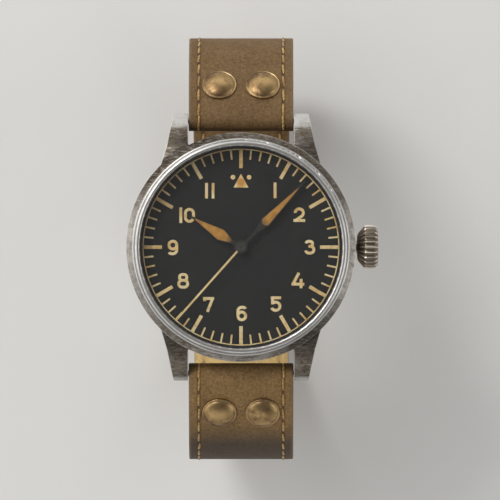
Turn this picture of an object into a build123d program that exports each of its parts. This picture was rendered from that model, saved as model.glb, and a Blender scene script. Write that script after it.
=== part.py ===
from build123d import *

import os
from math import asin, atan2, cos, degrees, hypot, radians, sin, sqrt

# Pilot watch on a riveted leather strap that is buckled into a closed loop, in millimetres.
# The origin is on the dial axis at the outer face of the case back.
# +Z points out of the dial, +Y to twelve o'clock and +X to the crown.
# The movement sets the case, the case sets the crown and lugs, and the lugs carry the strap.

os.makedirs("parts", exist_ok=True)

# Fits
run_gap = 0.03
seat_gap = 0.02
overrun = 0.5

# Gear train: teeth counts, then the distances between the axes that mesh
centre_teeth = 64
third_pinion_teeth = 8
third_teeth = 60
fourth_pinion_teeth = 8
fourth_teeth = 70
escape_pinion_teeth = 7
barrel_teeth = 72
centre_pinion_teeth = 9
cannon_teeth = 12
minute_teeth = 36
minute_pinion_teeth = 10
hour_teeth = 40
ratchet_teeth = 61
crown_wheel_teeth = 35
winding_teeth = 14
barrel_distance = 7.02
third_distance = 3.825
escape_distance = 3.81
pallet_distance = 2.7
balance_distance = 4.8
minute_wheel_distance = 2.88
ratchet_distance = 9.6
tooth_tip_share = 0.85
tooth_root_share = 1.2
tooth_tip_half_share = 0.11
tooth_root_half_share = 0.25
barrel_module = barrel_distance * 2 / (barrel_teeth + centre_pinion_teeth)
centre_module = third_distance * 2 / (centre_teeth + third_pinion_teeth)
third_module = third_distance * 2 / (third_teeth + fourth_pinion_teeth)
escape_module = escape_distance * 2 / (fourth_teeth + escape_pinion_teeth)
motion_module = minute_wheel_distance * 2 / (cannon_teeth + minute_teeth)
hour_module = minute_wheel_distance * 2 / (minute_pinion_teeth + hour_teeth)
ratchet_module = ratchet_distance * 2 / (ratchet_teeth + crown_wheel_teeth)

# Train places, as angles seen from the dial, anticlockwise from +X
barrel_angle = 75.0
third_angle = 225.0
escape_angle = 290.0
pallet_angle = 330.0
balance_angle = 315.0
minute_wheel_angle = 0.0

# Movement plates and the ring round them
bridge_wall_w = 1.5
barrel_room = 0.44
movement_r = barrel_distance + barrel_teeth * barrel_module / 2 + barrel_room + bridge_wall_w
plate_low = 4.7
plate_top = 5.9
plate_flange_w = 0.6
plate_flange_t = 0.35
ring_room = 0.1
ring_w = 2.45
ring_inner_r = movement_r + ring_room
ring_outer_r = ring_inner_r + ring_w
ring_low = 2.3
ring_top = 6.5
bridge_margin = 1.1
barrel_bridge_low = 2.15
barrel_bridge_top = 2.85
barrel_bridge_edge_y = 1.17
train_bridge_low = 1.9
train_bridge_top = 2.5
train_bridge_edge_y = 0.58
centre_clear_r = 3.75
screw_r = 0.36
screw_head_r = 0.62
screw_head_t = 0.3
screw_inset = 0.75
screw_slot_w = 0.2
barrel_bridge_screw_angles = (40.0, 105.0, 165.0)
train_bridge_screw_angles = (195.0, 250.0)
jewel_r = 0.45
jewel_t = 0.3
jewel_inset = 0.15

# Case middle
dial_ledge_w = 1.1
bezel_overhang = 0.1
bezel_w = 1.45
case_rim_w = 1.2
case_bore_r = ring_outer_r + ring_room
dial_r = case_bore_r + dial_ledge_w
bezel_bore_r = dial_r - bezel_overhang
bezel_r = bezel_bore_r + bezel_w
case_r = bezel_r + case_rim_w
case_low = 0.9
case_foot_r = case_r - 2.1
case_flank_low = 3.0
case_flank_mid_r = case_r - 0.6
case_flank_mid = 1.6
case_top = 9.25
case_shoulder = case_top - 0.75

# Lugs
lug_gap = 20.0
lug_length = 3.65
lug_reach = case_r + lug_length
lug_tip_w = 2.7
lug_waist_y = case_r - 2.4
lug_waist_w = 3.9
lug_root_y = case_r - 6.2
lug_root_w = 5.0
lug_start_y = case_r - 12.5
lug_crest_y = case_r - 5.9
lug_top = 8.2
lug_bow_y = lug_reach - 3.55
lug_bow = 6.3
lug_tip_top = 3.1
lug_tip_mid = 1.3
lug_tip_round = 0.25
lug_toe_y = lug_reach - 1.05
lug_toe = 0.35
lug_heel_y = case_r - 4.0
lug_edge = 0.3

# Spring bars
bar_y = lug_reach - 1.35
bar_z = 2.2
bar_r = 0.75
bar_end_gap = 0.1
bar_pivot_r = 0.45
bar_pivot_length = 1.1

# Case back
back_r = case_bore_r + 1.05
back_t = 1.25
back_edge = 0.45
back_collar_w = 1.2
back_collar_top = 2.1
back_notch_w = 2.4
back_notch_depth = 0.9
back_notch_count = 6
back_gasket_r = case_bore_r + 0.4
back_gasket_wire = 0.22
back_gasket_groove = 0.5

# Bezel
bezel_seat = case_top - 0.95
bezel_bead_r = bezel_bore_r + 0.55
bezel_bead_top = case_top + 1.5
bezel_bead_low = case_top + 1.0
bezel_groove_r = bezel_r - 0.48
bezel_groove = case_top + 0.7
bezel_lip_r = bezel_r - 0.18
bezel_lip_top = case_top + 0.8
bezel_lip_low = case_top + 0.45

# Dial and the ring above it
dial_low = case_top - 2.35
dial_t = 0.4
dial_hole_r = 1.0
dial_foot_r = 0.35
dial_foot_x = 12.3
dial_foot_y = 6.4
dial_foot_depth = 1.2
flange_low_r = dial_r - 0.33
flange_top_r = dial_r - 0.17
flange_top = case_top + 0.1

# Printed dial marks
print_t = 0.06
minutes_in_an_hour = 60
hours_on_the_dial = 12
track_r = flange_low_r - 0.37
track_w = 0.2
minute_mark_r = track_r - 1.8
minute_mark_w = 0.33
hour_mark_r = track_r - 3.55
hour_mark_w = 0.77
triangle_tip_y = 13.8
triangle_base_y = 11.1
triangle_w = 2.85
dot_r = 0.47
dot_x = 1.5
dot_y = 13.1

# Crystal
crystal_r = bezel_bore_r - 0.2
crystal_low = case_top + 0.27
crystal_edge_top = case_top + 1.45
crystal_top = case_top + 2.65
crystal_dome_r = crystal_r - 1.05
crystal_dome_low = case_top + 1.2
gasket_foot_r = crystal_r - 0.15
gasket_foot_t = 0.12
gasket_top = case_top + 1.1

# Hands: rest angles are clockwise from twelve
hour_angle = 301.5
minute_angle = 44.3
second_angle = 221.6
hand_t = 0.16
hour_hand_z = dial_low + 1.1
hour_hand_reach = 11.1
hour_hand_w = 2.45
hour_hand_wide_y = 4.4
hour_hand_neck_y = 1.3
hour_hand_neck_w = 0.5
hour_lume_start_y = 2.1
hour_lume_end_y = 10.1
minute_hand_z = hour_hand_z + 0.45
minute_hand_reach = 17.2
minute_hand_w = 1.95
minute_hand_wide_y = 6.5
minute_hand_neck_y = 4.1
minute_hand_neck_w = 0.62
minute_lume_start_y = 5.9
minute_lume_end_y = 15.3
second_hand_z = minute_hand_z + 0.45
second_hand_short = 0.05
second_hand_reach = track_r - second_hand_short
second_hand_w = 0.36
second_hand_tail = 0.9
hand_tip_w = 0.24
hand_rim = 0.17
lume_proud = 0.05
hour_hub_r = 1.35
minute_hub_r = 1.15
second_hub_r = 0.95

# Train heights
wheel_t = 0.2
pinion_t = 0.4
pivot_r = 0.12
staff_r = 0.18
pivot_end = 4.95
pivot_start = 2.05
staff_low = 2.55
staff_high = 4.65
centre_pinion_low = 3.7
centre_wheel_low = 4.2
centre_pipe_r = 0.4
centre_pipe_top = 8.3
second_arbor_r = 0.2
second_pipe_r = 0.25
third_wheel_low = 3.3
third_pinion_low = 4.12
fourth_wheel_low = 2.6
fourth_wheel_t = 0.15
fourth_pinion_low = 3.2
escape_wheel_low = 3.75
escape_pinion_low = 2.57
barrel_low = 2.95
barrel_top = 4.05
barrel_flange_t = 0.3
barrel_cover_t = 0.13
barrel_r = 5.95
barrel_wall = 0.35
barrel_arbor_r = 0.7
barrel_hub_r = 1.6
mainspring_t = 0.16
mainspring_inner_r = 1.9
mainspring_pitch = 0.44
mainspring_turns = 8
cannon_low = plate_top + 0.1
cannon_pipe_r = 0.55
minute_wheel_low = cannon_low + 0.05
minute_pinion_low = minute_wheel_low + 0.25
minute_post_r = 0.22
hour_wheel_low = minute_pinion_low + 0.08
hour_pipe_r = 0.85
wheel_hole_share = 0.2
wheel_hole_ring_share = 0.58
wheel_hole_count = 5

# Escapement
escape_tip_r = 1.9
escape_root_r = 1.35
escape_teeth = 15
escape_tooth_share = 0.35
pallet_low = 3.7
pallet_t = 0.25
pallet_gap = 0.15
pallet_arm_w = 0.4
pallet_arm_half_angle = 50.0
pallet_hub_r = 0.4
lever_w = 0.35
lever_reach = balance_distance - 0.95
balance_rim_r = 3.8
balance_rim_w = 0.5
balance_low = 3.0
balance_t = 0.3
balance_hub_r = 0.6
spoke_w = 0.5
spoke_angles = (0.0, 60.0, 120.0)
roller_r = 0.8
roller_low = 3.48
roller_t = 0.14
impulse_pin_r = 0.07
impulse_pin_at = 0.6
cock_foot_x = 12.2
cock_foot_y = -6.0
cock_r = 1.55
cock_low = 1.9
cock_top = 2.5
hairspring_low = 2.65
hairspring_t = 0.15
hairspring_wire = 0.08
hairspring_inner_r = 0.7
hairspring_pitch = 0.3
hairspring_turns = 5
stud_r = 0.14

# Winding work and crown
stem_z = 4.4
stem_r = 0.5
stem_lead = 3.85
winding_gap = 0.05
winding_t = 1.3
winding_hub_r = 1.0
winding_hub_length = 0.8
winding_room = 0.25
crown_wheel_low = 1.65
crown_wheel_t = 0.4
crown_wheel_post_r = 0.6
crown_wheel_head_r = 1.1
tube_r = 1.2
tube_bore_r = 0.65
crown_r = 4.1
crown_neck_r = tube_r + 0.9
crown_start = case_r + 0.35
crown_wide_x = crown_start + 1.25
crown_rim_x = crown_wide_x + 2.05
crown_face_x = crown_rim_x + 0.55
crown_dome = 0.15
crown_face_r = crown_r - 0.75
crown_recess_r = tube_r + 0.3
crown_recess_end = crown_rim_x - 1.15
tube_reach = crown_recess_end - 1.1
crown_flutes = 24
crown_flute_r = 0.3
crown_gasket_w = 0.2
crown_gasket_t = 0.6

# Strap
strap_side_room = 0.15
strap_narrowing = 1.1
strap_lug_w = lug_gap - strap_side_room * 2
strap_buckle_w = strap_lug_w - strap_narrowing
leather_t = 1.15
lining_t = 0.95
wrap_gap = 0.05
strap_beyond_bar_12 = 16.4
strap_beyond_bar_6 = 17.0
reach_12 = bar_y + strap_beyond_bar_12
reach_6 = bar_y + strap_beyond_bar_6
upper_bend_r = 23.2
loop_depth = 44.0
lay_gap = 0.2
wedge_angle = 30.0
fold_end_angle = 156.0
tail_angle = 132.0
lining_start_share = 0.35

# Rivets
rivet_beyond_bar_12 = 6.85
rivet_beyond_bar_6 = 7.5
rivet_y_12 = bar_y + rivet_beyond_bar_12
rivet_y_6 = bar_y + rivet_beyond_bar_6
rivet_x = 4.1
rivet_cap_r = 3.3
rivet_cap_t = 1.15
rivet_seat = 0.35
rivet_round = 0.8
rivet_shank_r = 1.0
rivet_back_r = 2.4
rivet_back_t = 0.5

# Buckle
buckle_y = 2.0
buckle_bar_r = 0.75
buckle_arm_gap = 0.35
buckle_arm_w = 1.8
buckle_boss_r = 1.7
buckle_front_y = buckle_y - 10.2
buckle_front_w = 2.4
buckle_front_t = 1.5
buckle_edge = 0.35
tongue_w = 1.7
tongue_t = 0.9
tongue_gap = 0.15
tongue_ring_r = 1.45
tongue_tip_y = buckle_front_y - 1.8
tongue_bend_y = buckle_front_y + 2.6
tongue_drop_y = buckle_y - 4.2
tongue_slot_y = buckle_y - 4.25
tongue_slot_length = 6.7
hole_r = 1.0
hole_pitch = 6.5
hole_count = 3

# Keepers
keeper_gap = 0.25
keeper_t = 1.1
fixed_keeper_y = buckle_y + 5.3
fixed_keeper_w = 5.5
free_keeper_angle = 147.5
free_keeper_half_angle = 5.5


# Shared geometry

def disc(x, y, low, high, radius, mode=Mode.ADD):
    """A round disc or pin that stands along the dial axis."""
    with BuildSketch(Plane((x, y, low))) as outline:
        Circle(radius)
    extrude(outline.sketch, amount=high - low, mode=mode)


def teeth(plane, thickness, count, module, turn=0.0):
    """A toothed disc with straight-sided teeth, one of them at the angle turn."""
    pitch_r = count * module / 2
    tip_r = pitch_r + tooth_tip_share * module
    root_r = pitch_r - tooth_root_share * module
    step = 360 / count
    corners = (
        (root_r, -tooth_root_half_share),
        (tip_r, -tooth_tip_half_share),
        (tip_r, tooth_tip_half_share),
        (root_r, tooth_root_half_share),
    )
    points = []
    for tooth in range(count):
        for radius, share in corners:
            angle = radians(turn + (tooth + share) * step)
            points.append((radius * cos(angle), radius * sin(angle)))
    with BuildSketch(plane) as outline:
        Polygon(*points, align=None)
    extrude(outline.sketch, amount=thickness)


def crossings(x, y, low, high, radius):
    """The round windows that lighten a train wheel."""
    with BuildSketch(Plane((x, y, low))) as outline:
        with PolarLocations(radius * wheel_hole_ring_share, wheel_hole_count):
            Circle(radius * wheel_hole_share)
    extrude(outline.sketch, amount=high - low, mode=Mode.SUBTRACT)


def spiral(x, y, low, height, inner_r, pitch, turns, wire):
    """A flat spiral spring made of half rings whose centres change sides."""
    for half in range(turns * 2):
        side = 1 if half % 2 == 0 else -1
        middle_r = inner_r + half * pitch / 2
        centre_x = x - side * pitch / 4
        outer_r = middle_r + wire / 2
        with BuildSketch(Plane((centre_x, y, low))) as half_ring:
            Circle(outer_r)
            Circle(middle_r - wire / 2, mode=Mode.SUBTRACT)
            with Locations((0, -side * outer_r)):
                Rectangle(outer_r * 3, outer_r * 2, mode=Mode.SUBTRACT)
        extrude(half_ring.sketch, amount=height)


def polar(radius, angle):
    """A point at a radius and an angle from +X."""
    return (radius * cos(radians(angle)), radius * sin(radians(angle)))


def dome_arc(rim_r, rim_z, top_z):
    """Half of a dome's arc, from its rim to the axis."""
    rise = top_z - rim_z
    sphere_r = (rim_r ** 2 + rise ** 2) / (rise * 2)
    middle_r = rim_r / 2
    middle_z = top_z - sphere_r + sqrt(sphere_r ** 2 - middle_r ** 2)
    ThreePointArc((rim_r, rim_z), (middle_r, middle_z), (0, top_z))


barrel_x, barrel_y = polar(barrel_distance, barrel_angle)
third_x, third_y = polar(third_distance, third_angle)
escape_x, escape_y = polar(escape_distance, escape_angle)
pallet_x = escape_x + polar(pallet_distance, pallet_angle)[0]
pallet_y = escape_y + polar(pallet_distance, pallet_angle)[1]
balance_x = pallet_x + polar(balance_distance, balance_angle)[0]
balance_y = pallet_y + polar(balance_distance, balance_angle)[1]
minute_wheel_x, minute_wheel_y = polar(minute_wheel_distance, minute_wheel_angle)
crown_wheel_x = barrel_x + sqrt(ratchet_distance ** 2 - barrel_y ** 2)
ratchet_angle = degrees(atan2(-barrel_y, crown_wheel_x - barrel_x))
winding_low_x = crown_wheel_x + (crown_wheel_teeth * ratchet_module - winding_t) / 2
stem_start = winding_low_x - stem_lead


# Case middle with its four lugs

with BuildPart() as case_middle:
    with BuildSketch():
        with BuildLine():
            Polyline(
                (lug_gap / 2, lug_start_y),
                (lug_gap / 2, lug_reach),
                (lug_gap / 2 + lug_tip_w, lug_reach),
                (lug_gap / 2 + lug_waist_w, lug_waist_y),
                (lug_gap / 2 + lug_root_w, lug_root_y),
                (lug_gap / 2 + lug_root_w, lug_start_y),
                close=True,
            )
        make_face()
        mirror(about=Plane.XZ)
        mirror(about=Plane.YZ)
    extrude(amount=case_shoulder)
    with BuildSketch(Plane.YZ):
        with BuildLine():
            Line((0, case_low), (lug_heel_y, case_low))
            Line((lug_heel_y, case_low), (lug_toe_y, lug_toe))
            ThreePointArc(
                (lug_toe_y, lug_toe),
                (lug_reach - lug_tip_round, lug_tip_mid),
                (lug_reach, lug_tip_top),
            )
            ThreePointArc((lug_reach, lug_tip_top), (lug_bow_y, lug_bow), (lug_crest_y, lug_top))
            Line((lug_crest_y, lug_top), (0, lug_top))
            Line((0, lug_top), (0, case_low))
        make_face()
        mirror(about=Plane.YZ)
    extrude(amount=case_r, both=True, mode=Mode.INTERSECT)
    with BuildSketch(Plane.XZ):
        with BuildLine():
            Line((0, case_low), (case_foot_r, case_low))
            ThreePointArc(
                (case_foot_r, case_low),
                (case_flank_mid_r, case_flank_mid),
                (case_r, case_flank_low),
            )
            Polyline(
                (case_r, case_flank_low),
                (case_r, case_shoulder),
                (bezel_r + seat_gap, case_top),
                (0, case_top),
                (0, case_low),
            )
        make_face()
    revolve(axis=Axis.Z)
    disc(0, 0, case_low, case_top, case_bore_r, Mode.SUBTRACT)
    disc(0, 0, dial_low, case_top, dial_r + seat_gap, Mode.SUBTRACT)
    disc(0, 0, bezel_seat, case_top, bezel_r + seat_gap, Mode.SUBTRACT)
    with BuildSketch(Plane.XY.offset(case_low)):
        Circle(back_gasket_r + back_gasket_groove / 2)
        Circle(back_gasket_r - back_gasket_groove / 2, mode=Mode.SUBTRACT)
    extrude(amount=back_gasket_groove, mode=Mode.SUBTRACT)
    with BuildSketch(Plane.YZ):
        with Locations((bar_y, bar_z), (-bar_y, bar_z)):
            Circle(bar_pivot_r + run_gap)
    bar_hole_half = lug_gap / 2 + bar_pivot_length + seat_gap
    extrude(amount=bar_hole_half, both=True, mode=Mode.SUBTRACT)
    with BuildSketch(Plane((0, 0, stem_z), z_dir=(1, 0, 0))):
        Circle(tube_r + seat_gap)
    extrude(amount=case_r + overrun, mode=Mode.SUBTRACT)
    lug_edges = case_middle.edges().filter_by(lambda e: abs(e.center().Y) > lug_heel_y)
    fillet(lug_edges.filter_by(GeomType.LINE).filter_by(Axis.Z), radius=lug_edge)
case_middle.part.label = "case_middle"
export_step(case_middle.part, "parts/case_middle.step")


# Case back with wrench notches, and its gasket

with BuildPart() as case_back:
    with BuildSketch(Plane.XZ):
        with BuildLine():
            Polyline(
                (0, 0),
                (back_r - back_edge, 0),
                (back_r, back_edge),
                (back_r, case_low),
                (case_bore_r - seat_gap, case_low),
                (case_bore_r - seat_gap, back_collar_top),
                (case_bore_r - back_collar_w, back_collar_top),
                (case_bore_r - back_collar_w, back_t),
                (0, back_t),
                close=True,
            )
        make_face()
    revolve(axis=Axis.Z)
    with BuildSketch():
        with PolarLocations(back_r, back_notch_count):
            Rectangle(back_notch_depth * 2, back_notch_w)
    extrude(amount=back_edge, mode=Mode.SUBTRACT)
case_back.part.label = "case_back"
export_step(case_back.part, "parts/case_back.step")

with BuildPart() as case_back_gasket:
    with BuildSketch(Plane.XZ):
        with Locations((back_gasket_r, case_low + back_gasket_wire)):
            Circle(back_gasket_wire)
    revolve(axis=Axis.Z)
case_back_gasket.part.label = "case_back_gasket"
export_step(case_back_gasket.part, "parts/case_back_gasket.step")


# Bezel, inner flange, crystal and crystal gasket

with BuildPart() as bezel:
    with BuildSketch(Plane.XZ):
        with BuildLine():
            Polyline(
                (bezel_bore_r, bezel_bead_low),
                (bezel_bore_r, flange_top + seat_gap),
                (dial_r + seat_gap, flange_top + seat_gap),
                (dial_r + seat_gap, bezel_seat),
                (bezel_r, bezel_seat),
                (bezel_r, bezel_lip_low),
            )
            ThreePointArc(
                (bezel_r, bezel_lip_low), (bezel_lip_r, bezel_lip_top), (bezel_groove_r, bezel_groove)
            )
            ThreePointArc(
                (bezel_groove_r, bezel_groove),
                (bezel_bead_r, bezel_bead_top),
                (bezel_bore_r, bezel_bead_low),
            )
        make_face()
    revolve(axis=Axis.Z)
bezel.part.label = "bezel"
export_step(bezel.part, "parts/bezel.step")

with BuildPart() as inner_flange:
    with BuildSketch(Plane.XZ):
        with BuildLine():
            Polyline(
                (flange_low_r, dial_low + dial_t),
                (dial_r, dial_low + dial_t),
                (dial_r, flange_top),
                (flange_top_r, flange_top),
                close=True,
            )
        make_face()
    revolve(axis=Axis.Z)
inner_flange.part.label = "inner_flange"
export_step(inner_flange.part, "parts/inner_flange.step")

with BuildPart() as crystal:
    with BuildSketch(Plane.XZ):
        with BuildLine():
            Polyline(
                (crystal_dome_r, crystal_low),
                (crystal_r, crystal_low),
                (crystal_r, crystal_edge_top),
            )
            dome_arc(crystal_r, crystal_edge_top, crystal_top)
            Line((0, crystal_top), (0, crystal_dome_low))
            dome_arc(crystal_dome_r, crystal_low, crystal_dome_low)
        make_face()
    revolve(axis=Axis.Z)
crystal.part.label = "crystal"
export_step(crystal.part, "parts/crystal.step")

with BuildPart() as crystal_gasket:
    gasket_low = flange_top + seat_gap
    with BuildSketch(Plane.XZ):
        with BuildLine():
            Polyline(
                (gasket_foot_r, gasket_low),
                (bezel_bore_r, gasket_low),
                (bezel_bore_r, gasket_top),
                (crystal_r, gasket_top),
                (crystal_r, gasket_low + gasket_foot_t),
                (gasket_foot_r, gasket_low + gasket_foot_t),
                close=True,
            )
        make_face()
    revolve(axis=Axis.Z)
crystal_gasket.part.label = "crystal_gasket"
export_step(crystal_gasket.part, "parts/crystal_gasket.step")


# Dial plate and its printed marks

with BuildPart() as dial:
    disc(0, 0, dial_low, dial_low + dial_t, dial_r)
    disc(0, 0, dial_low, dial_low + dial_t, dial_hole_r, Mode.SUBTRACT)
    for side in (1, -1):
        disc(side * dial_foot_x, side * dial_foot_y, dial_low - dial_foot_depth, dial_low, dial_foot_r)
dial.part.label = "dial"
export_step(dial.part, "parts/dial.step")

with BuildPart() as dial_marks:
    with BuildSketch(Plane.XY.offset(dial_low + dial_t)):
        Circle(track_r + track_w)
        Circle(track_r, mode=Mode.SUBTRACT)
        minute_mark_length = track_r + track_w / 2 - minute_mark_r
        hour_mark_length = track_r + track_w / 2 - hour_mark_r
        with PolarLocations(minute_mark_r + minute_mark_length / 2, minutes_in_an_hour):
            Rectangle(minute_mark_length, minute_mark_w)
        with PolarLocations(hour_mark_r + hour_mark_length / 2, hours_on_the_dial):
            Rectangle(hour_mark_length, hour_mark_w)
        with BuildLine():
            Polyline(
                (-triangle_w / 2, triangle_base_y),
                (triangle_w / 2, triangle_base_y),
                (0, triangle_tip_y),
                close=True,
            )
        make_face()
        with Locations((-dot_x, dot_y), (dot_x, dot_y)):
            Circle(dot_r)
    extrude(amount=print_t)
dial_marks.part.label = "dial_marks"
export_step(dial_marks.part, "parts/dial_marks.step")


# Movement ring, main plate and bridges

with BuildPart() as movement_ring:
    disc(0, 0, ring_low, ring_top, ring_outer_r)
    disc(0, 0, ring_low, ring_top, ring_inner_r, Mode.SUBTRACT)
    flange_room_r = movement_r + plate_flange_w + seat_gap
    disc(0, 0, plate_top - plate_flange_t, ring_top, flange_room_r, Mode.SUBTRACT)
    with BuildSketch(Plane((0, 0, stem_z), z_dir=(1, 0, 0))):
        Circle(tube_bore_r)
    extrude(amount=ring_outer_r + overrun, mode=Mode.SUBTRACT)
movement_ring.part.label = "movement_ring"
export_step(movement_ring.part, "parts/movement_ring.step")

screw_ring_r = movement_r - bridge_wall_w / 2
barrel_bridge_screws = [polar(screw_ring_r, angle) for angle in barrel_bridge_screw_angles]
train_bridge_screws = [polar(screw_ring_r, angle) for angle in train_bridge_screw_angles]
cock_screws = [(cock_foot_x, cock_foot_y)]
all_screws = barrel_bridge_screws + train_bridge_screws + cock_screws

train_jewels = [(0, 0), (third_x, third_y), (escape_x, escape_y), (pallet_x, pallet_y)]
plate_jewels = train_jewels[1:] + [(balance_x, balance_y)]

with BuildPart() as main_plate:
    disc(0, 0, plate_low, plate_top, movement_r)
    disc(0, 0, plate_top - plate_flange_t, plate_top, movement_r + plate_flange_w)
    disc(0, 0, plate_low, plate_top, centre_pipe_r + run_gap, Mode.SUBTRACT)
    disc(barrel_x, barrel_y, plate_low, plate_top, barrel_arbor_r + run_gap, Mode.SUBTRACT)
    for x, y in plate_jewels:
        disc(x, y, plate_low, plate_top, jewel_r + seat_gap, Mode.SUBTRACT)
    for x, y in all_screws:
        disc(x, y, plate_low, plate_top, screw_r + seat_gap, Mode.SUBTRACT)
    for side in (1, -1):
        foot_hole_r = dial_foot_r + seat_gap
        disc(side * dial_foot_x, side * dial_foot_y, plate_low, plate_top, foot_hole_r, Mode.SUBTRACT)
    disc(minute_wheel_x, minute_wheel_y, plate_top, dial_low - seat_gap, minute_post_r)
    window_start = winding_low_x - winding_room
    window_length = winding_t + winding_hub_length + winding_room * 2
    window_w = stem_z - crown_wheel_low
    with BuildSketch(Plane.XY.offset(plate_low)):
        with Locations((window_start + window_length / 2, 0)):
            Rectangle(window_length, window_w * 2)
    extrude(amount=plate_top - plate_low, mode=Mode.SUBTRACT)
    with BuildSketch(Plane((stem_start - winding_room, 0, stem_z), z_dir=(1, 0, 0))):
        Circle(tube_bore_r)
    extrude(amount=movement_r, mode=Mode.SUBTRACT)
main_plate.part.label = "main_plate"
export_step(main_plate.part, "parts/main_plate.step")

with BuildPart() as barrel_bridge:
    arm_edge_y = -crown_wheel_teeth * ratchet_module / 2
    arm_edge_x = centre_clear_r + jewel_r
    with BuildSketch(Plane.XY.offset(barrel_bridge_low)) as barrel_bridge_area:
        Circle(movement_r)
        with BuildLine():
            Polyline(
                (-case_r, barrel_bridge_edge_y),
                (arm_edge_x, barrel_bridge_edge_y),
                (arm_edge_x, arm_edge_y),
                (case_r, arm_edge_y),
                (case_r, case_r),
                (-case_r, case_r),
                close=True,
            )
        make_face(mode=Mode.INTERSECT)
        Circle(centre_clear_r, mode=Mode.SUBTRACT)
    extrude(amount=plate_low - barrel_bridge_low)
    disc(0, 0, barrel_bridge_top, plate_low, movement_r - bridge_wall_w, Mode.SUBTRACT)
    disc(barrel_x, barrel_y, barrel_bridge_low, plate_low, barrel_arbor_r + run_gap, Mode.SUBTRACT)
    for x, y in barrel_bridge_screws:
        disc(x, y, barrel_bridge_low, plate_low, screw_r + seat_gap, Mode.SUBTRACT)
    disc(crown_wheel_x, 0, barrel_bridge_low, barrel_bridge_top, crown_wheel_post_r, Mode.SUBTRACT)
    with BuildSketch(Plane.XY.offset(barrel_bridge_low)):
        with Locations((window_start + window_length / 2, 0)):
            Rectangle(window_length, window_w * 2)
    extrude(amount=plate_low - barrel_bridge_low, mode=Mode.SUBTRACT)
    with BuildSketch(Plane((stem_start - winding_room, 0, stem_z), z_dir=(1, 0, 0))):
        Circle(tube_bore_r)
    extrude(amount=movement_r, mode=Mode.SUBTRACT)
barrel_bridge.part.label = "barrel_bridge"
export_step(barrel_bridge.part, "parts/barrel_bridge.step")

with BuildPart() as train_bridge:
    train_edge_x = pallet_x + bridge_margin
    train_corner_y = arm_edge_y - jewel_r
    train_turn_y = pallet_y - bridge_margin
    with BuildSketch(Plane.XY.offset(train_bridge_low)):
        Circle(movement_r)
        with BuildLine():
            Polyline(
                (-case_r, train_bridge_edge_y),
                (centre_clear_r, train_bridge_edge_y),
                (centre_clear_r, train_corner_y),
                (train_edge_x, train_corner_y),
                (train_edge_x, train_turn_y),
                (centre_clear_r / 2, -case_r),
                (-case_r, -case_r),
                close=True,
            )
        make_face(mode=Mode.INTERSECT)
    extrude(amount=plate_low - train_bridge_low)
    disc(0, 0, train_bridge_top, plate_low, movement_r - bridge_wall_w, Mode.SUBTRACT)
    for x, y in train_jewels:
        disc(x, y, train_bridge_low, train_bridge_top, jewel_r + seat_gap, Mode.SUBTRACT)
    for x, y in train_bridge_screws:
        disc(x, y, train_bridge_low, plate_low, screw_r + seat_gap, Mode.SUBTRACT)
train_bridge.part.label = "train_bridge"
export_step(train_bridge.part, "parts/train_bridge.step")

stud_x = balance_x + hairspring_inner_r + hairspring_turns * hairspring_pitch
with BuildPart() as balance_cock:
    with BuildSketch(Plane.XY.offset(cock_low)):
        with Locations((cock_foot_x, cock_foot_y), (balance_x, balance_y)):
            Circle(cock_r)
        make_hull()
    extrude(amount=cock_top - cock_low)
    disc(cock_foot_x, cock_foot_y, cock_top, plate_low, cock_r)
    disc(stud_x, balance_y, cock_top - overrun, hairspring_low, stud_r)
    disc(balance_x, balance_y, cock_low, cock_top, jewel_r + seat_gap, Mode.SUBTRACT)
    disc(cock_foot_x, cock_foot_y, cock_low, plate_low, screw_r + seat_gap, Mode.SUBTRACT)
balance_cock.part.label = "balance_cock"
export_step(balance_cock.part, "parts/balance_cock.step")

with BuildPart() as bridge_screws:
    for places, face in (
        (barrel_bridge_screws, barrel_bridge_low),
        (train_bridge_screws, train_bridge_low),
        (cock_screws, cock_low),
    ):
        for x, y in places:
            disc(x, y, face - screw_head_t, face, screw_head_r)
            disc(x, y, face, plate_low + screw_inset, screw_r)
            with BuildSketch(Plane((x, y, face - screw_head_t))):
                Rectangle(screw_head_r * 3, screw_slot_w)
            extrude(amount=screw_head_t / 2, mode=Mode.SUBTRACT)
    crown_wheel_head = crown_wheel_low - screw_head_t / 2
    disc(crown_wheel_x, 0, crown_wheel_head, crown_wheel_low - run_gap, crown_wheel_head_r)
    disc(crown_wheel_x, 0, crown_wheel_low - run_gap, barrel_bridge_top, crown_wheel_post_r)
bridge_screws.part.label = "bridge_screws"
export_step(bridge_screws.part, "parts/bridge_screws.step")

with BuildPart() as jewels:
    for x, y in train_jewels:
        bottom = train_bridge_low + jewel_inset
        hole = (second_arbor_r if (x, y) == (0, 0) else pivot_r) + run_gap
        disc(x, y, bottom, bottom + jewel_t, jewel_r)
        disc(x, y, bottom, bottom + jewel_t, hole, Mode.SUBTRACT)
    for x, y in plate_jewels:
        disc(x, y, plate_low, plate_low + jewel_t, jewel_r)
        disc(x, y, plate_low, plate_low + jewel_t, pivot_r + run_gap, Mode.SUBTRACT)
    bottom = cock_low + jewel_inset
    disc(balance_x, balance_y, bottom, bottom + jewel_t, jewel_r)
    disc(balance_x, balance_y, bottom, bottom + jewel_t, pivot_r + run_gap, Mode.SUBTRACT)
jewels.part.label = "jewels"
export_step(jewels.part, "parts/jewels.step")


# Barrel with its cover, spring and arbor

with BuildPart() as barrel:
    flange_low = barrel_top - barrel_flange_t
    barrel_plane = Plane((barrel_x, barrel_y, flange_low))
    teeth(barrel_plane, barrel_flange_t, barrel_teeth, barrel_module, barrel_angle + 180)
    disc(barrel_x, barrel_y, barrel_low, flange_low, barrel_r)
    drum_r = barrel_r - barrel_wall
    disc(barrel_x, barrel_y, barrel_low, flange_low - barrel_cover_t / 2, drum_r, Mode.SUBTRACT)
    disc(barrel_x, barrel_y, barrel_low, barrel_top, barrel_arbor_r + run_gap, Mode.SUBTRACT)
barrel.part.label = "barrel"
export_step(barrel.part, "parts/barrel.step")

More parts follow.
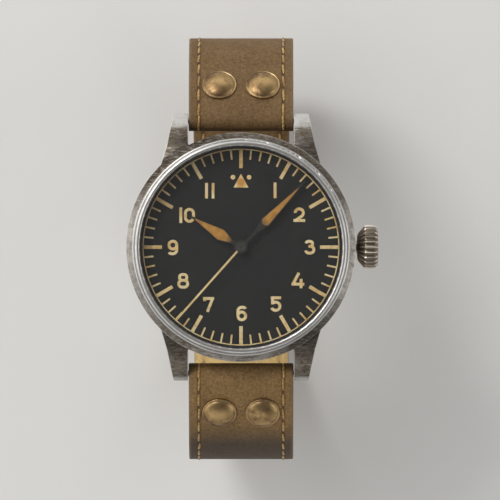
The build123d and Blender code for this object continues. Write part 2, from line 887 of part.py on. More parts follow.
with BuildPart() as barrel_cover:
    disc(barrel_x, barrel_y, barrel_low, barrel_low + barrel_cover_t, drum_r - seat_gap)
    cover_top = barrel_low + barrel_cover_t
    disc(barrel_x, barrel_y, barrel_low, cover_top, barrel_arbor_r + run_gap, Mode.SUBTRACT)
barrel_cover.part.label = "barrel_cover"
export_step(barrel_cover.part, "parts/barrel_cover.step")

with BuildPart() as mainspring:
    spring_low = cover_top + run_gap
    spring_height = flange_low - barrel_cover_t - spring_low
    spiral(
        barrel_x, barrel_y, spring_low, spring_height,
        mainspring_inner_r, mainspring_pitch, mainspring_turns, mainspring_t,
    )
mainspring.part.label = "mainspring"
export_step(mainspring.part, "parts/mainspring.step")

with BuildPart() as barrel_arbor:
    disc(barrel_x, barrel_y, crown_wheel_low, plate_top - screw_inset, barrel_arbor_r)
    hub_low = cover_top + run_gap * 2
    disc(barrel_x, barrel_y, hub_low, hub_low + spring_height - run_gap * 2, barrel_hub_r)
barrel_arbor.part.label = "barrel_arbor"
export_step(barrel_arbor.part, "parts/barrel_arbor.step")

with BuildPart() as ratchet_wheel:
    ratchet_plane = Plane((barrel_x, barrel_y, crown_wheel_low))
    teeth(ratchet_plane, crown_wheel_t, ratchet_teeth, ratchet_module, ratchet_angle)
    ratchet_top = crown_wheel_low + crown_wheel_t
    disc(barrel_x, barrel_y, crown_wheel_low, ratchet_top, barrel_arbor_r + seat_gap, Mode.SUBTRACT)
ratchet_wheel.part.label = "ratchet_wheel"
export_step(ratchet_wheel.part, "parts/ratchet_wheel.step")


# Winding work: crown wheel, winding pinion, stem, tube and crown

with BuildPart() as crown_wheel:
    facing = ratchet_angle + 180 + 180 / crown_wheel_teeth
    teeth(
        Plane((crown_wheel_x, 0, crown_wheel_low)),
        crown_wheel_t, crown_wheel_teeth, ratchet_module, facing,
    )
    disc(
        crown_wheel_x, 0, crown_wheel_low, crown_wheel_low + crown_wheel_t,
        crown_wheel_post_r + run_gap, Mode.SUBTRACT,
    )
crown_wheel.part.label = "crown_wheel"
export_step(crown_wheel.part, "parts/crown_wheel.step")

with BuildPart() as winding_pinion:
    winding_tip_r = stem_z - crown_wheel_low - crown_wheel_t - winding_gap
    winding_module = winding_tip_r / (winding_teeth / 2 + tooth_tip_share)
    winding_plane = Plane((winding_low_x, 0, stem_z), z_dir=(1, 0, 0))
    teeth(winding_plane, winding_t, winding_teeth, winding_module)
    with BuildSketch(winding_plane.offset(winding_t)):
        Circle(winding_hub_r)
    extrude(amount=winding_hub_length)
    with BuildSketch(winding_plane):
        Circle(stem_r + run_gap)
    extrude(amount=winding_t + winding_hub_length, mode=Mode.SUBTRACT)
winding_pinion.part.label = "winding_pinion"
export_step(winding_pinion.part, "parts/winding_pinion.step")

with BuildPart() as stem:
    stem_end = (crown_recess_end + crown_face_x) / 2
    with BuildSketch(Plane((stem_start, 0, stem_z), z_dir=(1, 0, 0))):
        Circle(stem_r)
    extrude(amount=stem_end - stem_start)
stem.part.label = "stem"
export_step(stem.part, "parts/stem.step")

with BuildPart() as crown_tube:
    with BuildSketch(Plane((case_bore_r + seat_gap, 0, stem_z), z_dir=(1, 0, 0))):
        Circle(tube_r)
        Circle(tube_bore_r, mode=Mode.SUBTRACT)
    extrude(amount=tube_reach - case_bore_r - seat_gap)
crown_tube.part.label = "crown_tube"
export_step(crown_tube.part, "parts/crown_tube.step")

crown_axis = Axis((0, 0, stem_z), (1, 0, 0))
with BuildPart() as crown:
    with BuildSketch(Plane.XZ):
        with BuildLine():
            Polyline(
                (crown_start, stem_z + crown_recess_r),
                (crown_start, stem_z + crown_neck_r),
                (crown_wide_x, stem_z + crown_r),
                (crown_rim_x, stem_z + crown_r),
                (crown_face_x, stem_z + crown_face_r),
                (crown_face_x + crown_dome, stem_z),
                (stem_end + seat_gap, stem_z),
                (stem_end + seat_gap, stem_z + stem_r + seat_gap),
                (crown_recess_end, stem_z + stem_r + seat_gap),
                (crown_recess_end, stem_z + crown_recess_r),
                close=True,
            )
        make_face()
    revolve(axis=crown_axis)
    with BuildSketch(Plane((crown_start, 0, stem_z), z_dir=(1, 0, 0))):
        with PolarLocations(crown_r + crown_flute_r / 3, crown_flutes):
            Circle(crown_flute_r)
    extrude(amount=crown_face_x - crown_start, mode=Mode.SUBTRACT)
crown.part.label = "crown"
export_step(crown.part, "parts/crown.step")

with BuildPart() as crown_gasket:
    gasket_x = crown_start + crown_gasket_t / 2
    with BuildSketch(Plane((gasket_x, 0, stem_z), z_dir=(1, 0, 0))):
        Circle(crown_recess_r)
        Circle(crown_recess_r - crown_gasket_w, mode=Mode.SUBTRACT)
    extrude(amount=crown_gasket_t)
crown_gasket.part.label = "crown_gasket"
export_step(crown_gasket.part, "parts/crown_gasket.step")


# Going train

with BuildPart() as centre_wheel:
    teeth(Plane.XY.offset(centre_wheel_low), wheel_t, centre_teeth, centre_module, third_angle)
    crossings(0, 0, centre_wheel_low, centre_wheel_low + wheel_t, centre_teeth * centre_module / 2)
    pinion_turn = barrel_angle + 180 / centre_pinion_teeth
    pinion_height = centre_wheel_low - centre_pinion_low
    teeth(
        Plane.XY.offset(centre_pinion_low), pinion_height,
        centre_pinion_teeth, barrel_module, pinion_turn,
    )
    disc(0, 0, centre_pinion_low, centre_pipe_top, centre_pipe_r)
    disc(0, 0, centre_pinion_low, centre_pipe_top, second_pipe_r, Mode.SUBTRACT)
centre_wheel.part.label = "centre_wheel"
export_step(centre_wheel.part, "parts/centre_wheel.step")


def staff(x, y):
    """A train arbor with a thinner pivot at each end."""
    disc(x, y, staff_low, staff_high, staff_r)
    disc(x, y, pivot_start, pivot_end, pivot_r)


with BuildPart() as third_wheel:
    third_plane = Plane((third_x, third_y, third_wheel_low))
    teeth(third_plane, wheel_t, third_teeth, third_module, third_angle + 180)
    third_pitch_r = third_teeth * third_module / 2
    crossings(third_x, third_y, third_wheel_low, third_wheel_low + wheel_t, third_pitch_r)
    teeth(
        Plane((third_x, third_y, third_pinion_low)), pinion_t, third_pinion_teeth,
        centre_module, third_angle + 180 + 180 / third_pinion_teeth,
    )
    staff(third_x, third_y)
third_wheel.part.label = "third_wheel"
export_step(third_wheel.part, "parts/third_wheel.step")

with BuildPart() as fourth_wheel:
    teeth(
        Plane.XY.offset(fourth_wheel_low), fourth_wheel_t, fourth_teeth, escape_module, escape_angle
    )
    fourth_pitch_r = fourth_teeth * escape_module / 2
    crossings(0, 0, fourth_wheel_low, fourth_wheel_low + fourth_wheel_t, fourth_pitch_r)
    teeth(
        Plane.XY.offset(fourth_pinion_low), pinion_t, fourth_pinion_teeth,
        third_module, third_angle + 180 / fourth_pinion_teeth,
    )
    disc(0, 0, pivot_start, second_hand_z + hand_t, second_arbor_r)
fourth_wheel.part.label = "fourth_wheel"
export_step(fourth_wheel.part, "parts/fourth_wheel.step")

with BuildPart() as escape_wheel:
    step = 360 / escape_teeth
    escape_points = []
    for tooth in range(escape_teeth):
        escape_points.append(polar(escape_root_r, tooth * step))
        escape_points.append(polar(escape_tip_r, (tooth + escape_tooth_share) * step))
        escape_points.append(polar(escape_root_r, (tooth + escape_tooth_share) * step))
    with BuildSketch(Plane((escape_x, escape_y, escape_wheel_low))):
        with BuildLine():
            Polyline(*escape_points, close=True)
        make_face()
    extrude(amount=wheel_t)
    teeth(
        Plane((escape_x, escape_y, escape_pinion_low)), pinion_t, escape_pinion_teeth,
        escape_module, escape_angle + 180 + 180 / escape_pinion_teeth,
    )
    staff(escape_x, escape_y)
escape_wheel.part.label = "escape_wheel"
export_step(escape_wheel.part, "parts/escape_wheel.step")

with BuildPart() as pallet_fork:
    anchor_inner_r = escape_tip_r + pallet_gap
    anchor_outer_r = anchor_inner_r + pallet_arm_w
    with BuildSketch(Plane((escape_x, escape_y, pallet_low))):
        with BuildLine():
            ThreePointArc(
                polar(anchor_outer_r, pallet_angle - pallet_arm_half_angle),
                polar(anchor_outer_r, pallet_angle),
                polar(anchor_outer_r, pallet_angle + pallet_arm_half_angle),
            )
            Line(
                polar(anchor_outer_r, pallet_angle + pallet_arm_half_angle),
                polar(anchor_inner_r, pallet_angle + pallet_arm_half_angle),
            )
            ThreePointArc(
                polar(anchor_inner_r, pallet_angle + pallet_arm_half_angle),
                polar(anchor_inner_r, pallet_angle),
                polar(anchor_inner_r, pallet_angle - pallet_arm_half_angle),
            )
            Line(
                polar(anchor_inner_r, pallet_angle - pallet_arm_half_angle),
                polar(anchor_outer_r, pallet_angle - pallet_arm_half_angle),
            )
        make_face()
    extrude(amount=pallet_t)
    disc(pallet_x, pallet_y, pallet_low, pallet_low + pallet_t, pallet_hub_r)
    lever_plane = Plane((pallet_x, pallet_y, pallet_low), x_dir=(*polar(1, balance_angle), 0))
    with BuildSketch(lever_plane):
        with Locations((lever_reach / 2, 0)):
            Rectangle(lever_reach, lever_w)
    extrude(amount=pallet_t)
    staff(pallet_x, pallet_y)
pallet_fork.part.label = "pallet_fork"
export_step(pallet_fork.part, "parts/pallet_fork.step")

with BuildPart() as balance_wheel:
    with BuildSketch(Plane((balance_x, balance_y, balance_low))):
        Circle(balance_rim_r)
        Circle(balance_rim_r - balance_rim_w, mode=Mode.SUBTRACT)
        Circle(balance_hub_r)
        for angle in spoke_angles:
            Rectangle((balance_rim_r - balance_rim_w / 2) * 2, spoke_w, rotation=angle)
    extrude(amount=balance_t)
    disc(balance_x, balance_y, roller_low, roller_low + roller_t, roller_r)
    pin_x = balance_x - polar(impulse_pin_at, balance_angle)[0]
    pin_y = balance_y - polar(impulse_pin_at, balance_angle)[1]
    disc(pin_x, pin_y, roller_low, pallet_low + pallet_t, impulse_pin_r)
    disc(balance_x, balance_y, hairspring_low, balance_low, balance_hub_r)
    staff(balance_x, balance_y)
balance_wheel.part.label = "balance_wheel"
export_step(balance_wheel.part, "parts/balance_wheel.step")

with BuildPart() as hairspring:
    spiral(
        balance_x, balance_y, hairspring_low, hairspring_t,
        hairspring_inner_r, hairspring_pitch, hairspring_turns, hairspring_wire,
    )
hairspring.part.label = "hairspring"
export_step(hairspring.part, "parts/hairspring.step")


# Motion works under the dial

with BuildPart() as cannon_pinion:
    cannon_height = minute_pinion_low - cannon_low
    teeth(Plane.XY.offset(cannon_low), cannon_height, cannon_teeth, motion_module, minute_wheel_angle)
    disc(0, 0, cannon_low, minute_hand_z + hand_t, cannon_pipe_r)
    disc(0, 0, cannon_low, centre_pipe_top + seat_gap, centre_pipe_r + seat_gap, Mode.SUBTRACT)
    disc(0, 0, cannon_low, minute_hand_z + hand_t, second_pipe_r, Mode.SUBTRACT)
cannon_pinion.part.label = "cannon_pinion"
export_step(cannon_pinion.part, "parts/cannon_pinion.step")

with BuildPart() as minute_wheel:
    wheel_turn = minute_wheel_angle + 180 + 180 / minute_teeth
    teeth(
        Plane((minute_wheel_x, minute_wheel_y, minute_wheel_low)), wheel_t,
        minute_teeth, motion_module, wheel_turn,
    )
    pinion_plane = Plane((minute_wheel_x, minute_wheel_y, minute_pinion_low))
    teeth(pinion_plane, pinion_t, minute_pinion_teeth, hour_module, minute_wheel_angle + 180)
    disc(minute_wheel_x, minute_wheel_y, minute_wheel_low, minute_pinion_low, minute_post_r * 2)
    disc(
        minute_wheel_x, minute_wheel_y, minute_wheel_low, minute_pinion_low + pinion_t,
        minute_post_r + run_gap, Mode.SUBTRACT,
    )
minute_wheel.part.label = "minute_wheel"
export_step(minute_wheel.part, "parts/minute_wheel.step")

with BuildPart() as hour_wheel:
    hour_turn = minute_wheel_angle + 180 / hour_teeth
    teeth(Plane.XY.offset(hour_wheel_low), wheel_t, hour_teeth, hour_module, hour_turn)
    disc(0, 0, hour_wheel_low, hour_hand_z + hand_t, hour_pipe_r)
    disc(0, 0, hour_wheel_low, hour_hand_z + hand_t, cannon_pipe_r + run_gap, Mode.SUBTRACT)
hour_wheel.part.label = "hour_wheel"
export_step(hour_wheel.part, "parts/hour_wheel.step")


# Hands and their luminous fillings


def hand_plane(angle, height):
    """The sketch plane of a hand, whose +Y side is the way that the hand points."""
    turn = radians(angle)
    return Plane((0, 0, height), x_dir=(cos(turn), -sin(turn), 0), z_dir=(0, 0, 1))


def blade(start_y, start_w, wide_y, wide_w, end_y, end_w):
    """The sword-shaped part of a hand, symmetric about the way that it points."""
    Polygon(
        (start_w / 2, start_y),
        (wide_w / 2, wide_y),
        (end_w / 2, end_y),
        (-end_w / 2, end_y),
        (-wide_w / 2, wide_y),
        (-start_w / 2, start_y),
        align=None,
    )


hour_blade = (
    hour_hand_neck_y, hour_hand_neck_w, hour_hand_wide_y, hour_hand_w, hour_hand_reach, hand_tip_w,
)
hour_filling = (
    hour_lume_start_y, hour_hand_neck_w, hour_hand_wide_y, hour_hand_w - hand_rim * 2,
    hour_lume_end_y, hand_tip_w / 2,
)
minute_blade = (
    minute_hand_neck_y, minute_hand_neck_w, minute_hand_wide_y, minute_hand_w,
    minute_hand_reach, hand_tip_w,
)
minute_filling = (
    minute_lume_start_y, minute_hand_neck_w, minute_hand_wide_y, minute_hand_w - hand_rim * 2,
    minute_lume_end_y, hand_tip_w / 2,
)
for name, plane, outline, filling, hub_r, pipe_r in (
    (
        "hour_hand", hand_plane(hour_angle, hour_hand_z),
        hour_blade, hour_filling, hour_hub_r, hour_pipe_r,
    ),
    (
        "minute_hand", hand_plane(minute_angle, minute_hand_z),
        minute_blade, minute_filling, minute_hub_r, cannon_pipe_r,
    ),
):
    neck_y, neck_w = outline[:2]
    with BuildPart() as hand:
        with BuildSketch(plane):
            blade(*outline)
            with Locations((0, neck_y / 2)):
                Rectangle(neck_w, neck_y)
            Circle(hub_r)
            Circle(pipe_r + seat_gap, mode=Mode.SUBTRACT)
        extrude(amount=hand_t)
        with BuildSketch(plane):
            blade(*filling)
        extrude(amount=hand_t, mode=Mode.SUBTRACT)
    hand.part.label = name
    export_step(hand.part, "parts/" + name + ".step")

    with BuildPart() as lume:
        with BuildSketch(plane):
            blade(*filling)
        extrude(amount=hand_t + lume_proud)
    lume.part.label = name + "_lume"
    export_step(lume.part, "parts/" + name + "_lume.step")

with BuildPart() as second_hand:
    with BuildSketch(hand_plane(second_angle, second_hand_z)):
        with Locations((0, (second_hand_reach - second_hand_tail) / 2)):
            Rectangle(second_hand_w, second_hand_reach + second_hand_tail)
        Circle(second_hub_r)
        Circle(second_arbor_r + seat_gap, mode=Mode.SUBTRACT)
    extrude(amount=hand_t)
second_hand.part.label = "second_hand"
export_step(second_hand.part, "parts/second_hand.step")


# Spring bars

for name, side in (("spring_bar_12", 1), ("spring_bar_6", -1)):
    with BuildPart() as spring_bar:
        with BuildSketch(Plane.YZ):
            with Locations((side * bar_y, bar_z)):
                Circle(bar_r)
        extrude(amount=lug_gap / 2 - bar_end_gap, both=True)
        with BuildSketch(Plane.YZ):
            with Locations((side * bar_y, bar_z)):
                Circle(bar_pivot_r)
        extrude(amount=lug_gap / 2 + bar_pivot_length, both=True)
    spring_bar.part.label = name
    export_step(spring_bar.part, "parts/" + name + ".step")


# Strap: the side view of each layer is drawn in (outwards, up) and extruded to the strap's width.
# Bend angles are measured from straight up, outwards from the watch.

strap_t = leather_t + lining_t
stack_t = strap_t + leather_t
wrap_r = bar_r + wrap_gap + leather_t
wrap_distance = upper_bend_r - wrap_r


def bend_centres(reach, depth):
    """The centres of a strap half's two bends, the lower radius and the wrap's angle."""
    upper_u = reach - upper_bend_r
    wrap_angle = degrees(asin((bar_y - upper_u) / wrap_distance))
    upper = (upper_u, bar_z - wrap_distance * cos(radians(wrap_angle)))
    lower_r = upper[1] + depth
    return upper, (reach - lower_r, upper[1]), lower_r, wrap_angle


def place(side, centre, radius, angle):
    """A point on a bend, in the side view."""
    turn = radians(angle)
    return (side * (centre[0] + radius * sin(turn)), centre[1] + radius * cos(turn))


def bend(side, centre, radius, start, end):
    """An arc of the side view."""
    ThreePointArc(
        place(side, centre, radius, start),
        place(side, centre, radius, (start + end) / 2),
        place(side, centre, radius, end),
    )


def taper():
    """Trims the open part to the strap's width, which narrows towards the buckle."""
    flat = -loop_depth
    with BuildSketch(Plane.XZ) as outline:
        Polygon(
            (strap_lug_w / 2, bar_z + wrap_r + overrun),
            (strap_lug_w / 2, bar_z),
            (strap_buckle_w / 2, flat),
            (strap_buckle_w / 2, flat - stack_t),
            (-strap_buckle_w / 2, flat - stack_t),
            (-strap_buckle_w / 2, flat),
            (-strap_lug_w / 2, bar_z),
            (-strap_lug_w / 2, bar_z + wrap_r + overrun),
            align=None,
        )
    extrude(outline.sketch, amount=reach_6 + overrun, both=True, mode=Mode.INTERSECT)


upper_12, lower_12, lower_r_12, wrap_angle_12 = bend_centres(reach_12, loop_depth)
tail_depth = loop_depth + lay_gap + strap_t
upper_6, lower_6, lower_r_6, wrap_angle_6 = bend_centres(reach_6, tail_depth)

# The fold that holds the spring bar thins out along an arc that meets the leather's inner face.
base_r = upper_bend_r - leather_t
wedge_shift = ((base_r + wrap_r) ** 2 - wrap_distance ** 2) / (
    2 * (base_r + wrap_r - wrap_distance * cos(radians(wedge_angle)))
)
wedge_r = base_r - wedge_shift


def wedge_centre(upper, wrap_angle):
    """The centre of the arc under the spring-bar fold, and the angle at which it starts."""
    turn = radians(wrap_angle + wedge_angle)
    centre = (upper[0] + wedge_shift * sin(turn), upper[1] + wedge_shift * cos(turn))
    start = degrees(atan2(bar_y - centre[0], bar_z - centre[1]))
    return centre, start


def wrap(side, wrap_angle, start):
    """The rounded end round the spring bar, from its underside to its top."""
    bar = (bar_y, bar_z)
    under = start + 180
    ThreePointArc(
        place(side, bar, wrap_r, under),
        place(side, bar, wrap_r, (under + 360 + wrap_angle) / 2),
        place(side, bar, wrap_r, wrap_angle),
    )


def rivet_frame(side, upper, rivet_y, wedge):
    """The plane of a rivet pair's outer face, and the strap's depth under it."""
    angle = degrees(asin((rivet_y - upper[0]) / upper_bend_r))
    turn = radians(angle)
    direction = (side * sin(turn), cos(turn))
    outside = place(side, upper, upper_bend_r, angle)
    plane = Plane((0, *outside), x_dir=(1, 0, 0), z_dir=(0, *direction))
    across = (wedge[0] - upper[0]) * sin(turn) + (wedge[1] - upper[1]) * cos(turn)
    aside = hypot(wedge[0] - upper[0], wedge[1] - upper[1]) ** 2 - across ** 2
    inside_r = across + sqrt((wedge_r - lining_t) ** 2 - aside)
    return plane, upper_bend_r - inside_r


def rivet_room(side, upper, rivet_y, wedge):
    """Cuts the shank holes and presses the seats of both caps into the open part."""
    plane, depth = rivet_frame(side, upper, rivet_y, wedge)
    inside = rivet_seat - depth - rivet_back_t
    for radius, low, high in (
        (rivet_shank_r + seat_gap, -depth - overrun, overrun),
        (rivet_cap_r + seat_gap, -rivet_seat, overrun),
        (rivet_back_r + seat_gap, inside - overrun, inside + rivet_back_t),
    ):
        with BuildSketch(plane.offset(low)) as outline:
            with Locations((-rivet_x, 0), (rivet_x, 0)):
                Circle(radius)
        extrude(outline.sketch, amount=high - low, mode=Mode.SUBTRACT)


buckle_z = stack_t / 2 - loop_depth
fold_r = lower_r_12 - stack_t
lining_r_12 = lower_r_12 - strap_t
lining_end_y = buckle_y + stack_t / 2 + tongue_gap

with BuildPart() as strap_12_leather:
    wedge, wedge_start = wedge_centre(upper_12, wrap_angle_12)
    wedge_end = wrap_angle_12 + wedge_angle
    with BuildSketch(Plane.YZ):
        with BuildLine():
            bend(1, upper_12, upper_bend_r, wrap_angle_12, 90)
            bend(1, lower_12, lower_r_12, 90, 180)
            Line((lower_12[0], -loop_depth), (buckle_y, -loop_depth))
            ThreePointArc(
                (buckle_y, -loop_depth),
                (buckle_y - stack_t / 2, buckle_z),
                (buckle_y, stack_t - loop_depth),
            )
            Line((buckle_y, stack_t - loop_depth), (lower_12[0], stack_t - loop_depth))
            bend(1, lower_12, fold_r, 180, fold_end_angle)
            Line(
                place(1, lower_12, fold_r, fold_end_angle),
                place(1, lower_12, lining_r_12, fold_end_angle),
            )
            bend(1, lower_12, lining_r_12, fold_end_angle, 180)
            Polyline(
                (lower_12[0], strap_t - loop_depth),
                (lining_end_y, strap_t - loop_depth),
                (lining_end_y, leather_t - loop_depth),
                (lower_12[0], leather_t - loop_depth),
            )
            bend(1, lower_12, lower_r_12 - leather_t, 180, 90)
            bend(1, upper_12, base_r, 90, wedge_end)
            bend(1, wedge, wedge_r, wedge_end, wedge_start)
            wrap(1, wrap_angle_12, wedge_start)
        make_face()
        with Locations((bar_y, bar_z)):
            Circle(bar_r + wrap_gap, mode=Mode.SUBTRACT)
        with Locations((buckle_y, buckle_z)):
            Circle(buckle_bar_r + wrap_gap, mode=Mode.SUBTRACT)
    extrude(amount=strap_lug_w / 2, both=True)
    taper()
    slot_start = buckle_y - stack_t
    slot_length = lining_end_y + tongue_gap - slot_start
    with BuildSketch(Plane.XY.offset(-loop_depth - overrun)):
        with Locations((0, slot_start + slot_length / 2)):
            Rectangle(tongue_w + tongue_gap * 2, slot_length)
    extrude(amount=stack_t + overrun * 2, mode=Mode.SUBTRACT)
    rivet_room(1, upper_12, rivet_y_12, wedge)
strap_12_leather.part.label = "strap_12_leather"
export_step(strap_12_leather.part, "parts/strap_12_leather.step")

with BuildPart() as strap_12_lining:
    lining_start = wedge_start + (wedge_end - wedge_start) * lining_start_share
    with BuildSketch(Plane.YZ):
        with BuildLine():
            bend(1, wedge, wedge_r, lining_start, wedge_end)
            bend(1, upper_12, base_r, wedge_end, 90)
            bend(1, lower_12, lower_r_12 - leather_t, 90, 180)
            Polyline(
                (lower_12[0], leather_t - loop_depth),
                (lining_end_y, leather_t - loop_depth),
                (lining_end_y, strap_t - loop_depth),
                (lower_12[0], strap_t - loop_depth),
            )
            bend(1, lower_12, lining_r_12, 180, 90)
            bend(1, upper_12, base_r - lining_t, 90, wedge_end)
            bend(1, wedge, wedge_r - lining_t, wedge_end, lining_start)
            Line(
                place(1, wedge, wedge_r - lining_t, lining_start),
                place(1, wedge, wedge_r, lining_start),
            )
        make_face()
    extrude(amount=strap_lug_w / 2, both=True)
    taper()
    rivet_room(1, upper_12, rivet_y_12, wedge)
strap_12_lining.part.label = "strap_12_lining"
export_step(strap_12_lining.part, "parts/strap_12_lining.step")


# Strap half at six: it passes under the buckle half and ends beyond the keepers.

tail_r = lower_r_12 + lay_gap
tail_centre = (-lower_12[0], lower_12[1])
tail_flat = -loop_depth - lay_gap


def hole_plane(run):
    """The outer face of the tail at a distance along it from the middle of the watch."""
    if run > lower_12[0]:
        side, centre, radius, past = 1, lower_12, tail_r + strap_t, run - lower_12[0]
    elif run < -lower_6[0]:
        side, centre, radius, past = -1, lower_6, lower_r_6, -lower_6[0] - run
    else:
        return Plane((0, run, tail_flat - strap_t), z_dir=(0, 0, -1))
    angle = 180 - degrees(past / radius)
    turn = radians(angle)
    direction = (0, side * sin(turn), cos(turn))
    return Plane((0, *place(side, centre, radius, angle)), z_dir=direction)


def tongue_holes():
    """The slot that the tongue has stretched, and the round holes on both sides of it."""
    with BuildSketch(Plane.XY.offset(tail_flat - strap_t - overrun)) as slot:
        with Locations((0, tongue_slot_y)):
            SlotOverall(tongue_slot_length, tongue_w + tongue_gap * 2, rotation=90)
    extrude(slot.sketch, amount=strap_t + overrun * 2, mode=Mode.SUBTRACT)
    for number in range(1, hole_count + 1):
        for run in (tongue_slot_y + number * hole_pitch, tongue_slot_y - number * hole_pitch):
            with BuildSketch(hole_plane(run).offset(overrun)) as hole:
                Circle(hole_r)
            extrude(hole.sketch, amount=-strap_t - overrun * 2, mode=Mode.SUBTRACT)


with BuildPart() as strap_6_leather:
    wedge_6, wedge_start_6 = wedge_centre(upper_6, wrap_angle_6)
    wedge_end_6 = wrap_angle_6 + wedge_angle
    with BuildSketch(Plane.YZ):
        with BuildLine():
            bend(-1, upper_6, upper_bend_r, wrap_angle_6, 90)
            bend(-1, lower_6, lower_r_6, 90, 180)
            Line((-lower_6[0], tail_flat - strap_t), (lower_12[0], tail_flat - strap_t))
            bend(1, lower_12, tail_r + strap_t, 180, tail_angle)
            Line(
                place(1, lower_12, tail_r + strap_t, tail_angle),
                place(1, lower_12, tail_r + lining_t, tail_angle),
            )
            bend(1, lower_12, tail_r + lining_t, tail_angle, 180)
            Line((lower_12[0], tail_flat - lining_t), (-lower_6[0], tail_flat - lining_t))
            bend(-1, lower_6, lower_r_6 - leather_t, 180, 90)
            bend(-1, upper_6, base_r, 90, wedge_end_6)
            bend(-1, wedge_6, wedge_r, wedge_end_6, wedge_start_6)
            wrap(-1, wrap_angle_6, wedge_start_6)
        make_face()
        with Locations((-bar_y, bar_z)):
            Circle(bar_r + wrap_gap, mode=Mode.SUBTRACT)
    extrude(amount=strap_lug_w / 2, both=True)
    taper()
    tongue_holes()
    rivet_room(-1, upper_6, rivet_y_6, wedge_6)
strap_6_leather.part.label = "strap_6_leather"
export_step(strap_6_leather.part, "parts/strap_6_leather.step")

with BuildPart() as strap_6_lining:
    lining_start_6 = wedge_start_6 + (wedge_end_6 - wedge_start_6) * lining_start_share
    with BuildSketch(Plane.YZ):
        with BuildLine():
            bend(-1, wedge_6, wedge_r, lining_start_6, wedge_end_6)
            bend(-1, upper_6, base_r, wedge_end_6, 90)
            bend(-1, lower_6, lower_r_6 - leather_t, 90, 180)
            Line((-lower_6[0], tail_flat - lining_t), (lower_12[0], tail_flat - lining_t))
            bend(1, lower_12, tail_r + lining_t, 180, tail_angle)
            Line(
                place(1, lower_12, tail_r + lining_t, tail_angle),
                place(1, lower_12, tail_r, tail_angle),
            )
            bend(1, lower_12, tail_r, tail_angle, 180)
            Line((lower_12[0], tail_flat), (-lower_6[0], tail_flat))
            bend(-1, lower_6, lower_r_6 - strap_t, 180, 90)
            bend(-1, upper_6, base_r - lining_t, 90, wedge_end_6)
            bend(-1, wedge_6, wedge_r - lining_t, wedge_end_6, lining_start_6)
            Line(
                place(-1, wedge_6, wedge_r - lining_t, lining_start_6),
                place(-1, wedge_6, wedge_r, lining_start_6),
            )
        make_face()
    extrude(amount=strap_lug_w / 2, both=True)
    taper()
    tongue_holes()
    rivet_room(-1, upper_6, rivet_y_6, wedge_6)
strap_6_lining.part.label = "strap_6_lining"
export_step(strap_6_lining.part, "parts/strap_6_lining.step")


# Rivets: a domed cap outside, a shank through the fold and a flat cap inside

for name, side, upper, wedge_at, rivet_y in (
    ("strap_12_rivets", 1, upper_12, wedge, rivet_y_12),
    ("strap_6_rivets", -1, upper_6, wedge_6, rivet_y_6),
):
    plane, depth = rivet_frame(side, upper, rivet_y, wedge_at)
    with BuildPart() as rivets:
        with BuildSketch(plane.offset(-rivet_seat)):
            with Locations((-rivet_x, 0), (rivet_x, 0)):
                Circle(rivet_cap_r)
        extrude(amount=rivet_cap_t)
        fillet(rivets.faces().sort_by(Axis((0, 0, 0), plane.z_dir))[-2:].edges(), radius=rivet_round)
        with BuildSketch(plane.offset(-depth - rivet_back_t + rivet_seat)):
            with Locations((-rivet_x, 0), (rivet_x, 0)):
                Circle(rivet_shank_r)
        extrude(amount=depth + rivet_back_t - rivet_seat * 2)
        with BuildSketch(plane.offset(-depth - rivet_back_t + rivet_seat)):
            with Locations((-rivet_x, 0), (rivet_x, 0)):
                Circle(rivet_back_r)
        extrude(amount=rivet_back_t)
    rivets.part.label = name
    export_step(rivets.part, "parts/" + name + ".step")


# Buckle frame, its bar and its tongue

tail_outer = tail_flat - strap_t
front_top = tail_outer - lay_gap
front_low = front_top - buckle_front_t
arm_x = strap_buckle_w / 2 + buckle_arm_gap

with BuildPart() as buckle_frame:
    for side in (1, -1):
        arm_middle = side * (arm_x + buckle_arm_w / 2)
        with BuildSketch(Plane.YZ.offset(arm_middle - buckle_arm_w / 2)):
            with Locations((buckle_y, buckle_z)):
                Circle(buckle_boss_r)
            with Locations((buckle_front_y, front_low + buckle_front_t / 2)):
                Rectangle(buckle_front_w, buckle_front_t)
            make_hull()
        extrude(amount=buckle_arm_w)
    with BuildSketch(Plane.YZ):
        with Locations((buckle_front_y, front_low + buckle_front_t / 2)):
            Rectangle(buckle_front_w, buckle_front_t)
    extrude(amount=arm_x + buckle_arm_w, both=True)
    outer_faces = buckle_frame.faces().filter_by(Axis.X)
    outer_x = arm_x + buckle_arm_w
    outer_edges = outer_faces.filter_by(lambda f: abs(abs(f.center().X) - outer_x) < seat_gap).edges()
    fillet(outer_edges, radius=buckle_edge)
    with BuildSketch(Plane.YZ):
        with Locations((buckle_y, buckle_z)):
            Circle(buckle_bar_r + seat_gap)
    extrude(amount=outer_x + overrun, both=True, mode=Mode.SUBTRACT)
    with BuildSketch(Plane.XY.offset(front_low)):
        with Locations((0, buckle_front_y)):
            Rectangle(tongue_w + tongue_gap * 2, buckle_front_w + overrun)
    extrude(amount=tongue_t + tongue_gap, mode=Mode.SUBTRACT)
buckle_frame.part.label = "buckle_frame"
export_step(buckle_frame.part, "parts/buckle_frame.step")

with BuildPart() as buckle_bar:
    with BuildSketch(Plane.YZ):
        with Locations((buckle_y, buckle_z)):
            Circle(buckle_bar_r)
    extrude(amount=arm_x + buckle_arm_w - seat_gap, both=True)
buckle_bar.part.label = "buckle_bar"
export_step(buckle_bar.part, "parts/buckle_bar.step")

